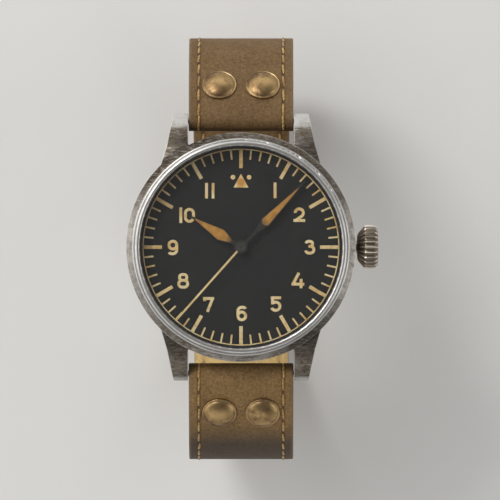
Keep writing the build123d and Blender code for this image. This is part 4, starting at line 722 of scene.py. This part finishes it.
def bezel_finish():
    """Polished steel, a little stained, with a painted reflection of the minute track on its inner lip."""
    made, tree = finish("bezel_steel", Metallic=1.0)
    marks = use(tree, "patina", Size=0.8)
    color = tint(tree, times(tree, marks["Blotches"], 0.4), (208, 206, 203), (154, 148, 140))
    x, y, _ = axes(tree)
    # Painted reflection: bright dashes at each minute on the inner lip stand for the mirrored minute
    # track.
    minute = times(tree, sum_up(tree, "ARCTAN2", y, x), 30 / pi)
    reflected_dash = reach(tree, sum_up(tree, "PINGPONG", plus(tree, minute, 60), 0.5), 0.1, 0.19)
    lip_reflection = tint(tree, reflected_dash, (208, 202, 191), (180, 176, 169))
    color = tint(tree, reach(tree, from_axis(tree), *reflection_lip_r, 1, 0), color, lip_reflection)
    roughness = reach(tree, marks["Blotches"], 0, 1, 0.3, 0.4)
    cover(made, color, roughness, marks["Scratches"], 0.000004)
    return made


def crystal_finish():
    """Clear glass with a faint smear, which throws next to no shadow on the dial."""
    made, tree = finish("crystal_glass", Transmission_Weight=1.0, IOR=1.49, Metallic=0.0)
    smear = use(tree, "tool_grain", Size=0.15)["Tone"]
    color = tint(tree, smear, (254, 254, 253), (252, 252, 250))
    cover(made, color, reach(tree, smear, 0, 1, 0.0, 0.012))
    shadow = add(tree, "LightPath").outputs["Is Shadow Ray"]
    tree.links.new(reach(tree, shadow, 0, 1, 1.0, 0.08), surface(made)["Alpha"])
    return made


dress(bezel_finish(), "bezel")
flange_steel = grained("flange_steel", (190, 186, 179), (174, 169, 161), (0.25, 0.37), Metallic=0.3)
dress(flange_steel, "inner_flange")
dress(crystal_finish(), "crystal")


# Crown and its tube: steel turned, fluted all round for the fingers and screwed on the stem,
# darkened by handling. Its grooves are darker, partly grime and partly painted shade, and its ridges
# are lighter, partly worn bright and partly painted highlight.
stem_z = 4.4
crown_r = 4.1
flutes, flute_depth = 24, 0.075
flute_start, flute_end = (0.0223, 0.0226), (0.0257, 0.02565)
flute_inner_r = 0.0022


def ringed(name, corners, turn, rings):
    """A solid pushed on from ring to ring, each given by its radius and its middle."""
    deselect()
    bpy.ops.mesh.primitive_circle_add(
        vertices=corners, radius=rings[0][0] * 0.001, fill_type="NGON",
        location=metres(*rings[0][1:]), rotation=turn,
    )
    made = settled(name)
    open_mesh()
    for (last_r, *last), (r, *middle) in zip(rings, rings[1:]):
        push(*Vector(middle) - Vector(last))
        bpy.ops.transform.resize(value=(r / last_r,) * 3, center_override=metres(*middle))
    close_mesh()
    return made


def turned_crown():
    """The crown, pushed out of its recess ring by ring, with its flutes pressed in after."""
    rings = (
        (24.0, 1.5), (21.85, 1.5), (21.85, 2.1), (22.02, 2.6), (22.6, 3.3), (23.1, 3.88), (23.3, 4.05),
        (23.55, crown_r), (24.2, crown_r), (24.8, 4.09), (25.1, 4.03), (25.35, 3.9), (25.55, 3.67),
        (25.66, 3.42), (25.72, 3.1), (25.8, 2.0), (25.84, 1.0),
    )
    step = 10
    made = ringed("crown_knob", flutes * step, (0, pi / 2, 0), [(r, x, 0, stem_z) for x, r in rings])

    def in_groove(co, place):
        y, z = co.y, co.z - stem_z * 0.001
        turn = round(degrees(atan2(z, y)) * flutes * step / 360) % step
        return hypot(y, z) > flute_inner_r and turn in (place, step - place)

    for place in range(1, step // 2 + 1):
        pick(made, lambda co: in_groove(co, place))
        share = 1 - flute_depth * sin(pi * place / step) ** 0.8
        bpy.ops.object.mode_set(mode="EDIT")
        bpy.ops.transform.resize(value=(1, share, share), center_override=metres(0, 0, stem_z))
        bpy.ops.object.mode_set(mode="OBJECT")
    shade(28)
    return made


def on_flutes(tree, low, high, share):
    """The grooves or the ridges of the crown's fluted side."""
    x, y, z = axes(tree)
    turn = sum_up(tree, "ARCTAN2", sum_up(tree, "SUBTRACT", z, stem_z * 0.001), y)
    wave = sum_up(tree, "ABSOLUTE", sum_up(tree, "SINE", times(tree, turn, flutes / 2)))
    side = times(tree, reach(tree, x, *flute_start), reach(tree, x, *flute_end))
    return times(tree, reach(tree, wave, low, high, 0, share), side)


crown_steel = worn_steel(
    "crown_steel", (176, 165, 150), (120, 104, 86), (226, 221, 213), 0.3, edge=0.0001
)
# Darker grooves: partly grime, partly painted shade.
gone_over(crown_steel, lambda tree: on_flutes(tree, 0.3, 0.75, 0.75), (96, 82, 64))
# Lighter ridges: partly worn bright, partly painted highlight.
gone_over(crown_steel, lambda tree: on_flutes(tree, 0.32, 0.12, 0.9), (232, 226, 216))
placed(turned_crown(), crown_steel, "case_steel", "crown_set", "crown")
dress(crown_steel, "crown_tube")


# Spring bars: sprung steel pins between the lugs that the strap halves fold round.
# They are of plain bright steel and mostly hidden by the leather.
dress(screw_steel, "spring_bar_12", "spring_bar_6")


# Strap: two halves of thick waxed hide, skived and folded round the spring bars and the buckle's
# bar, lined with calf; the lining at twelve is given darker colours as painted shade. Each half is
# 19.7 mm wide at the lugs, 20 mm on the bend and 18.6 mm at the buckle.
bar_y, bar_z, wrap_r = 23.8, 2.2, 1.95
leather_t, lining_t = 1.15, 0.95
strap_t = leather_t + lining_t
stack_t = strap_t + leather_t
upper_r = 23.2
base_r = upper_r - leather_t
loop_depth = 44.0
lay_gap = 0.2
wedge_angle = 30.0
half_lug, half_bend, half_buckle = 9.85, 10.0, 9.3
taper_z = -20.0
buckle_y, buckle_z = 2.0, -42.375
fold_end, tail_end, skive_share = 156.0, 132.0, 0.35
past_12, past_6 = 16.4, 17.0
rise_12, rise_6, rivet_x = 6.85, 7.5, 4.1
stitch_inset = 1.9


def half_width(z):
    """Half of the strap's width at a height: fullest on the bend, narrowest at the buckle."""
    if z > taper_z:
        share = min((bar_z + strap_t - z) / (bar_z + strap_t - taper_z), 1)
        return half_lug + (half_bend - half_lug) * max(share, 0)
    return half_bend + (half_buckle - half_bend) * min((taper_z - z) / (taper_z + loop_depth), 1)


def strap_bends(side, past_bar, depth, rivet_rise):
    """The two bends of a strap half, the fold round its bar and the angle of its rivets."""
    upper_y = bar_y + past_bar - upper_r
    wrap_angle = degrees(asin((bar_y - upper_y) / (upper_r - wrap_r)))
    upper = (upper_y, bar_z - (upper_r - wrap_r) * cos(radians(wrap_angle)))
    lower_r = upper[1] + depth
    shift = ((base_r + wrap_r) ** 2 - (upper_r - wrap_r) ** 2) / (
        2 * (base_r + wrap_r - (upper_r - wrap_r) * cos(radians(wedge_angle)))
    )
    turn = radians(wrap_angle + wedge_angle)
    wedge = (upper[0] + shift * sin(turn), upper[1] + shift * cos(turn))
    wedge_start = degrees(atan2(bar_y - wedge[0], bar_z - wedge[1]))
    return SimpleNamespace(
        side=side, upper=upper, lower=(bar_y + past_bar - lower_r, upper[1]), lower_r=lower_r,
        wrap=wrap_angle, rivet=degrees(asin((bar_y + rivet_rise - upper_y) / upper_r)),
        wedge=wedge, wedge_r=base_r - shift, wedge_start=wedge_start, wedge_end=wrap_angle + wedge_angle,
    )


def spot(centre, radius, angle):
    """A point of the side view: outwards and up, at an angle from straight up."""
    return centre[0] + radius * sin(radians(angle)), centre[1] + radius * cos(radians(angle))


def one_point(x, y, z):
    """Starts a mesh from one point."""
    deselect()
    bpy.ops.mesh.primitive_plane_add(size=0.001, location=metres(x, y, z))
    bpy.ops.object.transform_apply(location=True)
    open_mesh()
    bpy.ops.mesh.merge(type="CENTER")


def swept(name, side, start, moves):
    """A layer of the strap: its side view drawn from one point, then pushed across the width."""
    one_point(-half_lug, side * start[0], start[1])
    here = start
    for move in moves:
        if len(move) == 4:
            centre, radius, first, last = move
            bpy.ops.mesh.spin(
                steps=max(3, ceil(radius * abs(radians(last - first)) / 0.75)),
                angle=side * radians(last - first),
                center=metres(0, side * centre[0], centre[1]), axis=(1, 0, 0),
            )
            here = spot(centre, radius, last)
        else:
            push(0, side * (move[0] - here[0]), move[1] - here[1])
            here = move
    whole()
    bpy.ops.mesh.remove_doubles(threshold=0.00001)
    bpy.ops.mesh.edge_face_add()
    for last, following in zip(across, across[1:]):
        push(following - last, 0, 0)
    close_mesh()
    made = settled(name)
    shade(35)
    return made


seam = 1 - stitch_inset / half_lug
middle_shares = [1.44 * (number / 14 - 0.5) for number in range(15)]
half_shares = [*[seam + away for away in (-0.045, -0.02, 0, 0.02, 0.045)], 0.93, 1]
shares = [-share for share in reversed(half_shares)] + middle_shares + half_shares
across = [share * half_lug for share in shares]
groove, cut_edge = 0.14, 0.25
seat_r, seat_depth = 5.2, 0.3


def trimmed(piece, bends):
    """Presses in the seams and the rivets' seats, rounds the edges and narrows the layer."""
    mesh = piece.data
    y, z = spot(bends.upper, upper_r, bends.rivet)
    seats = [Vector(metres(x, bends.side * y, z)) for x in (-rivet_x, rivet_x)]
    shift = []
    for vertex in mesh.vertices:
        share = abs(vertex.co.x) / (half_lug * 0.001)
        depth = groove if abs(share - seam) < 0.005 else 0
        near = min((vertex.co - seat).length for seat in seats) * 1000
        if near < seat_r and vertex.co.z > 0:
            depth += seat_depth * (1 + cos(pi * near / seat_r)) / 2
        shift.append(vertex.normal * (depth * 0.001))
    for vertex, step in zip(mesh.vertices, shift):
        vertex.co -= step
    chosen(piece)
    rounded(piece, cut_edge, 55)
    for vertex in mesh.vertices:
        vertex.co.x *= half_width(vertex.co.z * 1000) / half_lug
    shade(35)


def hide_effect():
    """Leather: cloudy tone, fine wrinkles and pores."""
    tree, takes, gives = effect("hide", {"Size": 1.0}, ("Tone", "Pores", "Height"))
    scaled = resized(tree, place_of(tree), takes["Size"])
    cloud = noise(tree, scaled, 190, 6, Roughness=0.62)
    warp = add(tree, "TexNoise", {"Vector": scaled, "Scale": 900, "Detail": 3}).outputs["Color"]
    moved = add(tree, "VectorMath", {0: scaled, 1: resized(tree, warp, 0.0006)}).outputs[0]
    cells = add(tree, "TexVoronoi", {"Vector": moved, "Scale": 1700}, feature="SMOOTH_F1")
    pores = cells.outputs["Distance"]
    speck = reach(tree, noise(tree, moved, 2300, 4, Roughness=0.7), 0.33, 0.67, -0.45, 0.5)
    tone = plus(tree, reach(tree, cloud, 0.32, 0.68, 0.25, 0.65), speck)
    tree.links.new(reach(tree, tone, 0, 1), gives["Tone"])
    tree.links.new(reach(tree, pores, 0.25, 0.6), gives["Pores"])
    fine = times(tree, noise(tree, scaled, 3200, 3), 0.7)
    tree.links.new(plus(tree, fine, pores, cloud), gives["Height"])


def seam_effect():
    """Where the sewing and the cut edges of the strap are, from the place on the strap."""
    tree, _, gives = effect("strap_lines", {}, ("Seam", "Side"))
    x, _, z = axes(tree)
    half = plus(
        tree, reach(tree, z, *metres(bar_z + strap_t, taper_z, half_lug, half_bend)),
        reach(tree, z, *metres(taper_z, -loop_depth, 0, half_buckle - half_bend)),
    )
    inwards = sum_up(tree, "SUBTRACT", half, sum_up(tree, "ABSOLUTE", x))
    away = sum_up(tree, "ABSOLUTE", sum_up(tree, "SUBTRACT", inwards, stitch_inset * 0.001))
    tree.links.new(reach(tree, away, 0.00018, 0.0005, 1, 0), gives["Seam"])
    tree.links.new(reach(tree, inwards, 0.00005, 0.0006, 1, 0), gives["Side"])


darker_end_y, darker_end_z = (-0.0335, -0.0375), (-0.036, -0.022)


def leather(name, light, dark, edge, rough, seam_shade=(58, 38, 22), size=1.0, seamed=0.8, dusk=0.0):
    """Hide with its tone, painted shade in its seam grooves, its dressed edges and, at six, a darker lower
    end.
    """
    made, tree = finish(name, Specular_IOR_Level=0.22)
    hide = use(tree, "hide", Size=size)
    lines = use(tree, "strap_lines")
    color = tint(tree, hide["Tone"], light, dark)
    pores = reach(tree, hide["Pores"], 0, 1, 0.22, 0)
    color = layered(tree, color, (pores, [part * 0.62 for part in dark]))
    if dusk:
        # Darker towards the lower end of the half at six.
        _, y, z = axes(tree)
        darker_end = times(tree, reach(tree, y, *darker_end_y, 0, dusk), reach(tree, z, *darker_end_z))
        color = layered(tree, color, (darker_end, (60, 54, 48)))
    side, seam_shade_share = times(tree, lines["Side"], 0.7), times(tree, lines["Seam"], seamed)
    # The dressed edges in their own colour, and painted shade along the pressed seam grooves.
    color = layered(tree, color, (side, edge), (seam_shade_share, seam_shade))
    roughness = reach(tree, hide["Tone"], 0, 1, rough, rough + 0.1)
    cover(made, color, roughness, hide["Height"], 0.00006)
    return made


hide_effect()
seam_effect()
strap_leather = leather("strap_leather", (131, 104, 69), (99, 75, 46), (124, 109, 90), 0.62, seamed=0.6)
strap_leather_6 = leather(
    "strap_leather_6", (156, 124, 82), (116, 89, 54), (122, 107, 88), 0.62, seamed=0.6, dusk=0.85
)
# Painted shade: the calf at twelve is the same as at six, given darker colours where it lies in shadow.
lining_painted_shade = leather("lining_painted_shade", (104, 80, 52), (82, 60, 38), (96, 82, 64), 0.66, size=1.3)
lining_pale = leather(
    "lining_pale", (222, 192, 132), (204, 172, 114), (150, 140, 124), 0.66, (150, 120, 74), 1.3, 0.4
)
bends_12 = strap_bends(1, past_12, loop_depth, rise_12)
bends_6 = strap_bends(-1, past_6, loop_depth + lay_gap + strap_t, rise_6)
turn_in = bends_12.lower
tail_turn = (-turn_in[0], turn_in[1])
tail_in = bends_12.lower_r + lay_gap
fold_r = bends_12.lower_r - stack_t
lining_end_y = buckle_y + stack_t / 2 + 0.15
flat = -loop_depth
tail_flat = flat - lay_gap


def hide_moves(bends, end_moves):
    """The outline of a leather: down its outer face, over its far end and back round the bar."""
    return spot(bends.upper, upper_r, bends.wrap), [
        (bends.upper, upper_r, bends.wrap, 90),
        *end_moves,
        (bends.upper, base_r, 90, bends.wedge_end),
        (bends.wedge, bends.wedge_r, bends.wedge_end, bends.wedge_start),
        ((bar_y, bar_z), wrap_r, bends.wedge_start + 180, bends.wrap + 360),
    ]


def lining_moves(bends, end_moves):
    """The outline of a lining: along the leather, over its far end, and back inside."""
    first = bends.wedge_start + (bends.wedge_end - bends.wedge_start) * skive_share
    start = spot(bends.wedge, bends.wedge_r, first)
    return start, [
        (bends.wedge, bends.wedge_r, first, bends.wedge_end),
        (bends.upper, base_r, bends.wedge_end, 90),
        *end_moves,
        (bends.upper, base_r - lining_t, 90, bends.wedge_end),
        (bends.wedge, bends.wedge_r - lining_t, bends.wedge_end, first),
        start,
    ]


end_12 = [
    (turn_in, bends_12.lower_r, 90, 180),
    (buckle_y, flat),
    ((buckle_y, buckle_z), stack_t / 2, 180, 360),
    (turn_in[0], flat + stack_t),
    (turn_in, fold_r, 180, fold_end),
    spot(turn_in, fold_r + leather_t, fold_end),
    (turn_in, fold_r + leather_t, fold_end, 180),
    (lining_end_y, flat + strap_t),
    (lining_end_y, flat + leather_t),
    (turn_in[0], flat + leather_t),
    (turn_in, bends_12.lower_r - leather_t, 180, 90),
]
lining_end_12 = [
    (turn_in, bends_12.lower_r - leather_t, 90, 180),
    (lining_end_y, flat + leather_t),
    (lining_end_y, flat + strap_t),
    (turn_in[0], flat + strap_t),
    (turn_in, bends_12.lower_r - strap_t, 180, 90),
]


def end_6(outer, inner):
    """The free end of the half at six, from its outer face round to its inner one."""
    return [
        (bends_6.lower, bends_6.lower_r - (strap_t - outer), 90, 180),
        (tail_turn[0], tail_flat - outer),
        (tail_turn, tail_in + outer, 180, 360 - tail_end),
        spot(tail_turn, tail_in + inner, 360 - tail_end),
        (tail_turn, tail_in + inner, 360 - tail_end, 180),
        (bends_6.lower[0], tail_flat - inner),
        (bends_6.lower, bends_6.lower_r - (strap_t - inner), 180, 90),
    ]


hide_12 = swept("strap_12_hide", 1, *hide_moves(bends_12, end_12))
hide_6 = swept("strap_6_hide", -1, *hide_moves(bends_6, end_6(strap_t, lining_t)))
calf_12 = swept("strap_12_calf", 1, *lining_moves(bends_12, lining_end_12))
calf_6 = swept("strap_6_calf", -1, *lining_moves(bends_6, end_6(lining_t, 0)))
for piece, bends in (
    (hide_12, bends_12), (calf_12, bends_12), (hide_6, bends_6), (calf_6, bends_6)
):
    trimmed(piece, bends)


def punched(piece, cutters):
    """Cuts the tongue's slot and the round holes through a layer."""
    cutter = joined(cutters, "cutter")
    chosen(piece)
    worked(piece, "BOOLEAN", operation="DIFFERENCE", solver="EXACT", object=cutter)
    bpy.data.objects.remove(cutter)


def slot_cutter(low_y, high_y, low_z, high_z, rounded_r=None):
    """A block for the tongue's slot, with round ends where the punch had them."""
    made = plate("cutter", 2 * hole_r, high_y - low_y, (0, (low_y + high_y) / 2, low_z))
    open_mesh()
    if rounded_r:
        bpy.ops.mesh.bevel(offset=rounded_r * 0.001, segments=6, affect="VERTICES")
        whole()
    push(0, 0, high_z - low_z)
    close_mesh()
    return made


hole_r = 1.0
hole_pitch = 6.5
over_t, under_t, past_t = 0.5, 0.05, 0.15
fold_under, fold_over = 0.09, stack_t + 0.4
slot_middle, slot_half = buckle_y - 4.25, 3.35
far_y = -bends_6.lower[0]


def hole_cutters():
    """The stretched slot and six round holes of the tail, along its outer face."""
    made = [
        slot_cutter(
            slot_middle - slot_half, slot_middle + slot_half, tail_flat - strap_t - over_t,
            tail_flat + under_t, 0.99 * hole_r,
        )
    ]
    for number in (1, -1, 2, -2, 3, -3):
        run = slot_middle + number * hole_pitch
        centre, radius = (run, tail_flat - strap_t), 0
        if run > turn_in[0]:
            centre, radius = turn_in, tail_in + strap_t
        elif run < far_y:
            centre, radius = (far_y, bends_6.lower[1]), bends_6.lower_r
        tilt = (run - centre[0]) / radius if radius else 0
        deselect()
        bpy.ops.mesh.primitive_cylinder_add(
            vertices=24, radius=hole_r * 0.001, depth=(strap_t + past_t) * 0.002,
            location=metres(0, centre[0] + radius * sin(tilt), centre[1] - radius * cos(tilt)),
            rotation=(tilt, 0, 0),
        )
        made.append(settled("cutter"))
    return made


punched(hide_6, hole_cutters())
punched(calf_6, hole_cutters())
fold_slot = slot_cutter(buckle_y - stack_t, lining_end_y + past_t, flat - fold_under, flat + fold_over)
punched(hide_12, [fold_slot])
placed(hide_12, strap_leather, "strap_leather", "root", "strap_12_leather")
placed(hide_6, strap_leather_6, "strap_leather", "root", "strap_6_leather")
placed(calf_12, lining_painted_shade, "lining_leather", "root", "strap_12_lining")
placed(calf_6, lining_pale, "lining_leather", "root", "strap_6_lining")


# Stitching: waxed linen thread of two twisted plies, sewn by hand with two needles through
# awl holes, 3.2 mm apart, along both edges; it lies a little slanted in the pressed seam.
thread_r = 0.2
stitch_pitch = 3.2


def one_stitch():
    """One stitch, with both ends going down into their holes."""
    rings = (
        (-1.4, -0.45, 0.6), (-1.24, -0.14, 0.9), (-0.75, 0.03, 1.05), (0.0, 0.07, 1.1),
        (0.75, 0.03, 1.05), (1.24, -0.14, 0.9), (1.4, -0.45, 0.6),
    )
    made = ringed("stitch", 8, (pi / 2, 0, 0), [(thread_r * size, 0, y, z) for y, z, size in rings])
    shade(60)
    ply = made.data.attributes.new("ply", "FLOAT_VECTOR", "POINT")
    for number, vertex in enumerate(made.data.vertices):
        ply.data[number].vector = vertex.co
    return made


def arc_run(side, centre, radius, first, last, out):
    """Stitch places on a bend: the point and the way out of the leather."""
    count = max(1, round(abs(radians(last - first)) * radius / stitch_pitch))
    for number in range(count):
        angle = first + (last - first) * (number + 0.5) / count
        y, z = spot(centre, radius, angle)
        turn = radians(angle)
        yield side * y, z, (0, side * sin(turn) * out, cos(turn) * out)


def flat_run(side, first, last, height, out):
    """Stitch places on a flat stretch."""
    count = max(1, int(abs(last - first) / stitch_pitch))
    for number in range(count):
        yield side * (first + (last - first) * (number + 0.5) / count), height, (0, 0, out)


def sewn(name, places):
    """Copies the stitch along both edges of every place."""
    chance = Random(len(name) + len(places))
    sideways = Vector((1, 0, 0))
    stitches = []
    for y, z, out in places:
        outwards = Vector(out)
        turned = Matrix((sideways, outwards.cross(sideways), outwards)).transposed().to_4x4()
        for edge in (-1, 1):
            slant = Matrix.Rotation(radians(chance.uniform(1, 6)) * edge, 4, "Z")
            x = edge * (half_width(z) - stitch_inset) + chance.uniform(-0.05, 0.05)
            at = Matrix.Translation(Vector(metres(x, y, z)))
            stitches.append(copied(stitch, "stitch", at @ turned @ slant))
    return joined(stitches, name)


def thread_finish():
    """Two waxed plies wound round each other, darker between them and unevenly soiled."""
    made, tree = finish("linen_thread", Sheen_Weight=0.2)
    ply = add(tree, "Attribute", attribute_name="ply").outputs["Vector"]
    wound = add(tree, "Mapping", {"Vector": ply, "Rotation": (0, 0, 0.95)}).outputs[0]
    plies = add(tree, "TexWave", {"Vector": wound, "Scale": 480, "Distortion": 0.6}).outputs["Fac"]
    dark_share = noise(tree, place_of(tree), 420, 4)
    color = tint(tree, reach(tree, dark_share, 0.35, 0.65), (204, 166, 94), (160, 122, 62))
    color = layered(tree, color, (reach(tree, plies, 0.05, 0.3, 0.45, 0), (104, 72, 32)))
    cover(made, color, reach(tree, dark_share, 0, 1, 0.55, 0.75), plies, 0.00008)
    return made


linen_thread = thread_finish()
stitch = one_stitch()
sunk = 0.08
sewing_12 = [
    *arc_run(1, (bar_y, bar_z), wrap_r - sunk, bends_12.wrap - 75, bends_12.wrap, 1),
    *arc_run(1, bends_12.upper, upper_r - sunk, bends_12.wrap, 90, 1),
    *arc_run(1, turn_in, bends_12.lower_r - sunk, 90, tail_end - 4, 1),
    *arc_run(1, bends_12.upper, base_r - lining_t + sunk, 90, bends_12.wedge_end + 2, -1),
    *arc_run(1, turn_in, bends_12.lower_r - strap_t + sunk, fold_end - 1, 90, -1),
    *arc_run(1, turn_in, fold_r + sunk, 180, fold_end + 2, -1),
    *flat_run(1, buckle_y + 1.2, turn_in[0], flat + stack_t - sunk, 1),
]
lower_6, lower_r_6 = bends_6.lower, bends_6.lower_r
sewing_6 = [
    *arc_run(-1, (bar_y, bar_z), wrap_r - sunk, bends_6.wrap - 75, bends_6.wrap, 1),
    *arc_run(-1, bends_6.upper, upper_r - sunk, bends_6.wrap, 90, 1),
    *arc_run(-1, lower_6, lower_r_6 - sunk, 90, 180, 1),
    *flat_run(1, -lower_6[0], turn_in[0], tail_flat - strap_t + sunk, -1),
    *arc_run(1, turn_in, tail_in + strap_t - sunk, 180, tail_end + 3, 1),
    *arc_run(-1, bends_6.upper, base_r - lining_t + sunk, 90, bends_6.wedge_end + 2, -1),
    *arc_run(-1, lower_6, lower_r_6 - strap_t + sunk, 180, 90, -1),
    *flat_run(1, -lower_6[0], buckle_y - 2.5, tail_flat - sunk, 1),
]
placed(sewn("stitching_12", sewing_12), linen_thread, "strap_leather", "root")
placed(sewn("stitching_6", sewing_6), linen_thread, "strap_leather", "root")
bpy.data.objects.remove(stitch)


# Rivets: brass caps with a low dome and a rolled rim, clinched through the folded leather on
# a shank with a flat cap inside; the brass has gone brown, bright where the cuff rubs it.
under, cap_t, cap_edge = 0.35, 0.5, 0.15


def brass_finish():
    """Brass gone brown in blotches, with bright edges."""
    made, tree = finish("aged_brass", Metallic=1.0)
    marks = use(tree, "patina", Size=0.75)
    edge = use(tree, "edge_wear", Radius=0.0003)["Edge"]
    color = tint(tree, marks["Blotches"], (170, 142, 98), (112, 86, 62))
    color = layered(tree, color, (times(tree, edge, 0.35), (222, 200, 168)))
    roughness = reach(tree, marks["Blotches"], 0, 1, 0.34, 0.48)
    cover(made, color, roughness, marks["Pits"], -0.00002)
    return made


aged_brass = brass_finish()


def riveted(name, bends):
    """Spins one rivet from its profile and sets a copy on each side of the strap."""
    turn = radians(bends.rivet)
    offset = (bends.wedge[0] - bends.upper[0], bends.wedge[1] - bends.upper[1])
    across = offset[0] * sin(turn) + offset[1] * cos(turn)
    aside = hypot(*offset) ** 2 - across ** 2
    depth = upper_r - across - sqrt((bends.wedge_r - lining_t) ** 2 - aside)
    back = under - depth
    profile = (
        (0, 1.12), (0.8, 1.07), (1.5, 0.94), (2.1, 0.74), (2.55, 0.51), (2.82, 0.29), (2.9, 0.15),
        (2.97, 0.13), (3.06, 0.2), (3.16, 0.21), (3.25, 0.14), (3.28, 0.0), (3.28, -under), (1.0, -under),
        (1.0, back), (2.2, back), (2.4, back - cap_edge), (2.4, back + cap_edge - cap_t),
        (2.1, back - cap_t), (0, back - cap_t),
    )
    one_point(0, 0, profile[0][1])
    for last, following in zip(profile, profile[1:]):
        push(following[0] - last[0], 0, following[1] - last[1])
    whole()
    bpy.ops.mesh.spin(steps=48, angle=2 * pi, center=(0, 0, 0), axis=(0, 0, 1))
    close_mesh(merge=True)
    first = settled(name)
    shade(50)
    second = copied(first, name)
    y, z = spot(bends.upper, upper_r, bends.rivet)
    tilted = Matrix.Rotation(-bends.side * turn, 4, "X")
    for rivet, x in ((first, -rivet_x), (second, rivet_x)):
        rivet.data.transform(Matrix.Translation(Vector(metres(x, bends.side * y, z))) @ tilted)
    return joined([first, second], name)


for name, bends in (("12", bends_12), ("6", bends_6)):
    rivets = riveted("rivets_" + name, bends)
    placed(rivets, aged_brass, "rivet_brass", "root", "strap_" + name + "_rivets")


# Buckle: a steel frame with rounded edges, its bar riveted in, and a bent tongue on the bar.
# It takes the case's finish, soiled and worn and with the case's masks of painted shade and highlight, and
# its bar is of plain bright steel.
placed(softened("buckle_frame", "buckle"), case_steel, "case_steel", "root", "buckle_frame")
placed(softened("buckle_tongue", "tongue_pin"), case_steel, "case_steel", "tongue", "buckle_tongue")
dress(screw_steel, "buckle_bar")


# Keepers: bands of the same leather, folded round the strap and glued end to end. The fixed one
# sits beside the buckle and the loose one slides along the bend.
keeper_t, keeper_gap = 0.6, 0.42
keeper_corner, keeper_edge = 1.25, 0.3
keeper_half = half_buckle + 0.3
keeper_inner = stack_t - loop_depth + keeper_gap
keeper_outer = tail_flat - strap_t - keeper_gap


def keeper_band(name, body, node, centre, tilt, moves):
    """A band: its section drawn with rounded corners, pushed or spun along the strap."""
    wide = 2 * (keeper_half + keeper_t)
    high = keeper_inner - keeper_outer + 2 * keeper_t
    made = plate(name, wide, high, (0, *centre), pi / 2 + tilt)
    open_mesh()
    bpy.ops.mesh.delete(type="ONLY_FACE")
    whole()
    bpy.ops.mesh.bevel(offset=keeper_corner * 0.001, segments=5, affect="VERTICES")
    whole()
    moves()
    close_mesh()
    worked(made, "SOLIDIFY", thickness=keeper_t * 0.001, offset=-1, use_even_offset=True)
    rounded(made, keeper_edge, 50)
    shade(40)
    return placed(made, keeper_leather, "strap_leather", body, node)


keeper_leather = leather(
    "keeper_leather", (130, 103, 71), (108, 83, 54), (90, 74, 56), 0.58, seamed=0.0
)
fixed_y, fixed_w = buckle_y + 5.3, 5.5
free_angle, free_half = 147.5, 5.5
middle_z = (keeper_inner + keeper_outer) / 2
free_start = free_angle - free_half


def push_fixed():
    """Draws the fixed keeper out along the flat strap."""
    for number in range(6):
        push(0, fixed_w / 6, 0)


def spin_free():
    """Draws the loose keeper out along the bend."""
    bpy.ops.mesh.spin(
        steps=6, angle=radians(2 * free_half), center=metres(0, *turn_in), axis=(1, 0, 0)
    )


keeper_band("keeper_fixed", "root", "fixed_keeper", (fixed_y, middle_z), 0, push_fixed)
keeper_band(
    "keeper_free", "keeper", "free_keeper", spot(turn_in, turn_in[1] - middle_z, free_start),
    radians(180 - free_start), spin_free,
)


# Studio: a pale floor under the buckle, a broad lamp on the left with a small key lamp beside
# it, softer ones at both ends of the strap and a weak one on the right. The camera looks
# straight down on the dial.
floor_z = -48.05


def floor_finish():
    """Pale matt paper, a little uneven."""
    made, tree = finish("floor_pale", Roughness=0.9, Specular_IOR_Level=0.1)
    tone = noise(tree, place_of(tree), 30, 3)
    cover(made, tint(tree, tone, (236, 235, 232), (229, 228, 225)))
    return made


deselect()
bpy.ops.mesh.primitive_plane_add(size=4, location=metres(0, 0, floor_z))
floor = bpy.context.object
floor.name = "floor"
floor.data.materials.append(floor_finish())


def lamp(name, place, size, power):
    """A soft rectangular lamp turned towards the watch."""
    light = bpy.data.lights.new(name, "AREA")
    light.shape = "RECTANGLE"
    light.size, light.size_y = size
    light.energy = power
    made = linked(name, light)
    made.location = place
    made.rotation_mode = "QUATERNION"
    made.rotation_quaternion = (-Vector(place)).to_track_quat("-Z", "Y")
    made.visible_camera = False


lamp("lamp_key", (-0.45, 0.5, 0.68), (0.3, 0.3), 3.2)
lamp("lamp_left", (-0.8, 0.2, 0.42), (0.8, 1.6), 2.8)
lamp("lamp_top_end", (-0.1, 0.85, 0.3), (0.9, 0.5), 1.0)
lamp("lamp_low_end", (-0.1, -0.85, 0.3), (0.9, 0.5), 1.0)
lamp("lamp_right", (0.8, -0.1, 0.4), (0.8, 0.8), 1.4)

world = bpy.data.worlds.new("studio")
bpy.context.scene.world = world
world.use_nodes = True
sky = world.node_tree
way = add(sky, "TexCoord").outputs["Generated"]
x, y, height = add(sky, "SeparateXYZ", {0: way}).outputs
side = times(
    sky, reach(sky, sum_up(sky, "ABSOLUTE", x), 0.2, 0.8, 0.25, 1.0), reach(sky, x, -0.5, 0.5, 1.1, 0.7)
)
low = times(sky, side, reach(sky, height, 0.35, 0.85, 1.0, 0))
high = reach(sky, height, 0.35, 0.85, 0, 0.2)
top = times(sky, reach(sky, y, 0.6, 0.9, 0, 0.9), reach(sky, height, 0.4, 0.2))
sky.links.new(plus(sky, low, high, top), sky.nodes["Background"].inputs["Color"])

camera = linked("camera", bpy.data.cameras.new("camera"))
camera.data.lens = 361.9
camera.data.sensor_width = 36
camera.data.clip_start, camera.data.clip_end = 0.01, 20
camera.location = (0.00169, -0.00054, 0.95)
bpy.context.scene.camera = camera
bpy.context.scene.view_settings.view_transform = "Standard"
